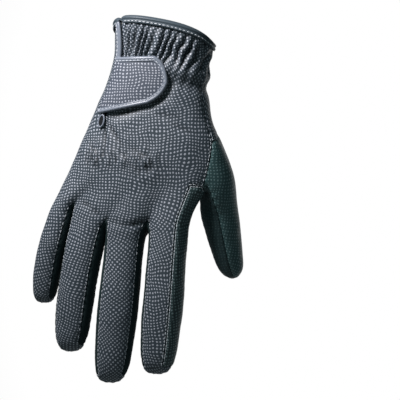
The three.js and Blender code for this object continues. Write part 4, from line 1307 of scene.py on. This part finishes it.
def blend(tree, share, first, second, way="MIX"):
    """A colour between two colours. These sockets share their names with others, so go by number."""
    node = add_node(tree, "ShaderNodeMix", data_type="RGBA", blend_type=way)
    for socket, value in ((0, share), (6, first), (7, second)):
        feed(tree, node.inputs[socket], value)
    return node.outputs[2]


def ramp(tree, value, low, high):
    """0 below low, 1 above high. low may be the greater one."""
    node = add_node(tree, "ShaderNodeMapRange", Value=value)
    node.inputs["From Min"].default_value = low
    node.inputs["From Max"].default_value = high
    return node.outputs["Result"]


def stretched(tree, vector, wide, high, turn=0):
    """Coordinates in which one unit is this wide and this high."""
    scale = (1 / wide, 1 / high, 1)
    node = add_node(tree, "ShaderNodeMapping", Vector=vector, Scale=scale, Rotation=(0, 0, turn))
    return node.outputs["Vector"]


def attribute(tree, name):
    return add_node(tree, "ShaderNodeAttribute", attribute_name=name).outputs["Fac"]


print("helpers for materials are ready")

# %% [markdown]
# The leather is printed with rows of small pale raised dots on a blue-grey ground. A cell pattern
# with little randomness gives the rows, a slow noise bends them, and each dot also lifts the
# surface a tenth of a millimetre. In the valleys of folds the colour is darkened, as painted shade,
# and the crinkled patches get finer wrinkles, as relief and as dark lines of painted shade.

# %% Dotted leather
DOT_PITCH = 2.0 * MM
ROW_PITCH = 1.85 * MM
DOT_SCATTER = 0.16
DOT_EDGES = (0.32, 0.16)
DOT_HEIGHT = 0.12 * MM
DOT_STRENGTH = 0.8
ROW_BEND = 3.2 * MM
ROW_BEND_SIZE = 18 * MM
# Painted shade: the colour that the leather is multiplied by in the folds' valleys and along the wrinkles'
# dark lines.
PAINTED_SHADE_COLOUR = (0.16, 0.19, 0.2, 1)
WRINKLE_WIDTH = 2.6 * MM
WRINKLE_LENGTH = 7.0 * MM
WRINKLE_LEAN = math.radians(25)
WRINKLE_DEPTH = 2.0 * MM
WRINKLE_DETAIL = 1.5
WRINKLE_SHADE_EDGES = (0.47, 0.41)
NOISE_MIDDLE = (0.5, 0.5, 0.5)


def dotted_leather(name, ground, dots, roughness):
    made, tree, shader = new_material(name, ground, roughness)
    flat = add_node(tree, "ShaderNodeUVMap", uv_map="flat").outputs["UV"]
    slow = add_node(tree, "ShaderNodeTexNoise", Vector=flat, Scale=1 / ROW_BEND_SIZE, Detail=1.0)
    centred = maths(tree, "VectorMath", "SUBTRACT", slow.outputs["Color"], NOISE_MIDDLE)
    bend = add_node(tree, "ShaderNodeVectorMath", operation="SCALE", Scale=2 * ROW_BEND)
    feed(tree, bend.inputs[0], centred)
    moved = maths(tree, "VectorMath", "ADD", flat, bend.outputs["Vector"])
    cells = add_node(
        tree, "ShaderNodeTexVoronoi", Vector=stretched(tree, moved, DOT_PITCH, ROW_PITCH),
        Scale=1.0, Randomness=DOT_SCATTER, voronoi_dimensions="2D",
    )
    dot = ramp(tree, cells.outputs["Distance"], *DOT_EDGES)
    patch = attribute(tree, "crinkle")
    wrinkles = add_node(
        tree, "ShaderNodeTexNoise", Scale=1.0, Detail=WRINKLE_DETAIL,
        Vector=stretched(tree, flat, WRINKLE_WIDTH, WRINKLE_LENGTH, WRINKLE_LEAN),
    ).outputs["Fac"]
    # Painted shade: the wrinkles' hollows become dark lines in the colour, and with the folds' painted shade
    # they darken ground and dots.
    line = maths(tree, "Math", "MULTIPLY", ramp(tree, wrinkles, *WRINKLE_SHADE_EDGES), patch, use_clamp=True)
    shade_to_paint = maths(tree, "Math", "MAXIMUM", line, attribute(tree, "painted_shade"))
    colour = blend(tree, shade_to_paint, blend(tree, dot, ground, dots), PAINTED_SHADE_COLOUR, "MULTIPLY")
    feed(tree, shader.inputs["Base Color"], colour)
    relief = maths(tree, "Math", "MULTIPLY", wrinkles, patch)
    coarse = add_node(tree, "ShaderNodeBump", Height=relief, Distance=WRINKLE_DEPTH)
    fine = add_node(
        tree, "ShaderNodeBump", Height=dot, Distance=DOT_HEIGHT, Strength=DOT_STRENGTH,
        Normal=coarse.outputs["Normal"],
    )
    feed(tree, shader.inputs["Normal"], fine.outputs["Normal"])
    return made


leather = dotted_leather("dotted_leather", linear(55, 65, 73), linear(172, 178, 187), 0.5)
side_leather = dotted_leather("side_leather", linear(42, 61, 63), linear(118, 138, 140), 0.5)
thumb_leather = dotted_leather("thumb_leather", linear(51, 80, 81), linear(112, 138, 139), 0.5)
dark_leather = dotted_leather("dark_leather", linear(33, 55, 57), linear(60, 82, 84), 0.55)
tab_leather = dotted_leather("tab_leather", linear(70, 77, 88), linear(168, 173, 182), 0.45)
print("materials so far:", sorted(made.name for made in bpy.data.materials))

# %% [markdown]
# The bands are smooth leather, a little shinier. The gussets are dull cloth with a fine weave. Every
# piece gets its outer finish and, for the inside of its wall, the dark lining. The lining's colour
# also fills the slit's hole, as a painted shadow.

# %% Finishes
WEAVE_SCALE = 1600.0
WEAVE_DEPTH = 0.15 * MM
WEAVE_STRENGTH = 0.6
band_leather, _, _ = new_material("band_leather", linear(64, 75, 82), 0.45, 0.25)
edging_leather, _, _ = new_material("edging_leather", linear(112, 120, 131), 0.33)
thread, _, _ = new_material("thread", linear(188, 195, 200), 0.7)
band_thread, _, _ = new_material("band_thread", linear(205, 210, 214), 0.7)
cloth, cloth_tree, cloth_shader = new_material("gusset_cloth", linear(33, 48, 50), 0.85, 0.2)
object_place = add_node(cloth_tree, "ShaderNodeTexCoord").outputs["Object"]
weave = add_node(cloth_tree, "ShaderNodeTexNoise", Vector=object_place, Scale=WEAVE_SCALE, Detail=2.0)
cloth_relief = add_node(
    cloth_tree, "ShaderNodeBump", Height=weave.outputs["Fac"],
    Distance=WEAVE_DEPTH, Strength=WEAVE_STRENGTH,
)
feed(cloth_tree, cloth_shader.inputs["Normal"], cloth_relief.outputs["Normal"])
# The lining's dark colour is the inside of the real glove, and also the painted shadow in the slit's hole.
lining_and_hole_shadow, _, _ = new_material("lining_and_hole_shadow", linear(20, 23, 26), 0.9, 0.2)

finishes = [
    (hand, leather, "leather"), (index_side, side_leather, "leather"), (thumb, thumb_leather, "leather"),
    (tab, tab_leather, "leather"), (thumb_gusset, dark_leather, "gusset_cloth"),
    *((gusset, cloth, "gusset_cloth") for gusset in gussets),
    (cuff_binding, band_leather, "binding"), (edging, edging_leather, "binding"),
    (slit_binding, edging_leather, "binding"), (slit_loop, edging_leather, "binding"),
    (hole, lining_and_hole_shadow, "leather"),
    (seam_stitches, thread, "binding"), (band_stitches, band_thread, "binding"),
]
for made, material, slot in finishes:
    made.data.materials.append(material)
    made.data.materials.append(lining_and_hole_shadow)
for piece in glove.values():
    thicken(piece["object"], piece["thickness"])
print("pieces with a finish:", len(finishes))

# %% [markdown]
# The stage: a pale floor far below, because the glove hangs in the air, and a sky that is white
# behind the glove and dimmer in front, so that its back doesn't look flat.

# %% Stage
FLOOR_DROP = 1.0
FLOOR_SIZE = 3
SKY_FRONT = (0.066, 0.09, 0.095, 1)
SKY_BEHIND = (1, 1, 1, 1)
SKY_TURN = (0.75, 0.95)
bpy.ops.mesh.primitive_plane_add(size=FLOOR_SIZE, location=(0, 0, -FLOOR_DROP))
floor = bpy.context.object
floor.name = "floor"
floor_material, _, _ = new_material("floor", linear(235, 235, 235), 0.9)
floor.data.materials.append(floor_material)

world = bpy.data.worlds.new("studio")
scene.world = world
world.use_nodes = True
sky = world.node_tree
background = sky.nodes["Background"]
direction = add_node(sky, "ShaderNodeTexCoord").outputs["Generated"]
parts = add_node(sky, "ShaderNodeSeparateXYZ", Vector=direction)
behind = ramp(sky, parts.outputs["Y"], *SKY_TURN)
feed(sky, background.inputs["Color"], blend(sky, behind, SKY_FRONT, SKY_BEHIND))
background.inputs["Strength"].default_value = 1.0
print("floor, m below the wrist:", FLOOR_DROP)

# %% [markdown]
# Two lights. The key is small, close, high and to the left, so that folds throw shadows and the
# light falls off towards the fingertips. The fill is large, far, weak and cool.

# %% Lights
LIGHT_AIM = (-0.03, 0, -0.055)
LIGHTS = [
    dict(name="key", place=(-0.15, -0.24, 0.2), size=0.1, watts=2.65, colour=(1.0, 0.96, 0.98)),
    dict(name="fill", place=(0.2, -1.1, 0.3), size=0.8, watts=0.3, colour=(0.8, 1.0, 1.0)),
]


def area_light(name, place, size, watts, colour):
    data = bpy.data.lights.new(name, "AREA")
    data.shape = "DISK"
    data.size = size
    data.energy = watts
    data.color = colour
    made = bpy.data.objects.new(name, data)
    made.location = place
    made.rotation_euler = (Vector(LIGHT_AIM) - Vector(place)).to_track_quat("-Z", "Y").to_euler()
    scene.collection.objects.link(made)


for light in LIGHTS:
    area_light(**light)
print("lights:", [light["name"] for light in LIGHTS])

# %% [markdown]
# The camera looks at the back of the hand from a little to its thumb side, level with the glove.

# %% Camera
AZIMUTH = math.radians(13)
DISTANCE = 1.3
PICTURE_WIDTH = 0.24
SENSOR_WIDTH = 36
AIM_RIGHT = 0.0213
AIM_DOWN = 0.0975
right = Vector((math.cos(AZIMUTH), math.sin(AZIMUTH), 0))
back = Vector((math.sin(AZIMUTH), -math.cos(AZIMUTH), 0))
aim = right * AIM_RIGHT + Vector((0, 0, -AIM_DOWN))
camera_data = bpy.data.cameras.new("camera")
camera_data.sensor_width = SENSOR_WIDTH
camera_data.lens = SENSOR_WIDTH * DISTANCE / PICTURE_WIDTH
camera = bpy.data.objects.new("camera", camera_data)
camera.location = aim + back * DISTANCE
camera.rotation_euler = (-back).to_track_quat("-Z", "Y").to_euler()
scene.collection.objects.link(camera)
scene.camera = camera
scene.view_settings.view_transform = "Standard"
print("lens, mm:", round(camera_data.lens, 1))

# %% [markdown]
# Last, the scene is brought up to date.

# %% Finish
bpy.context.view_layer.update()
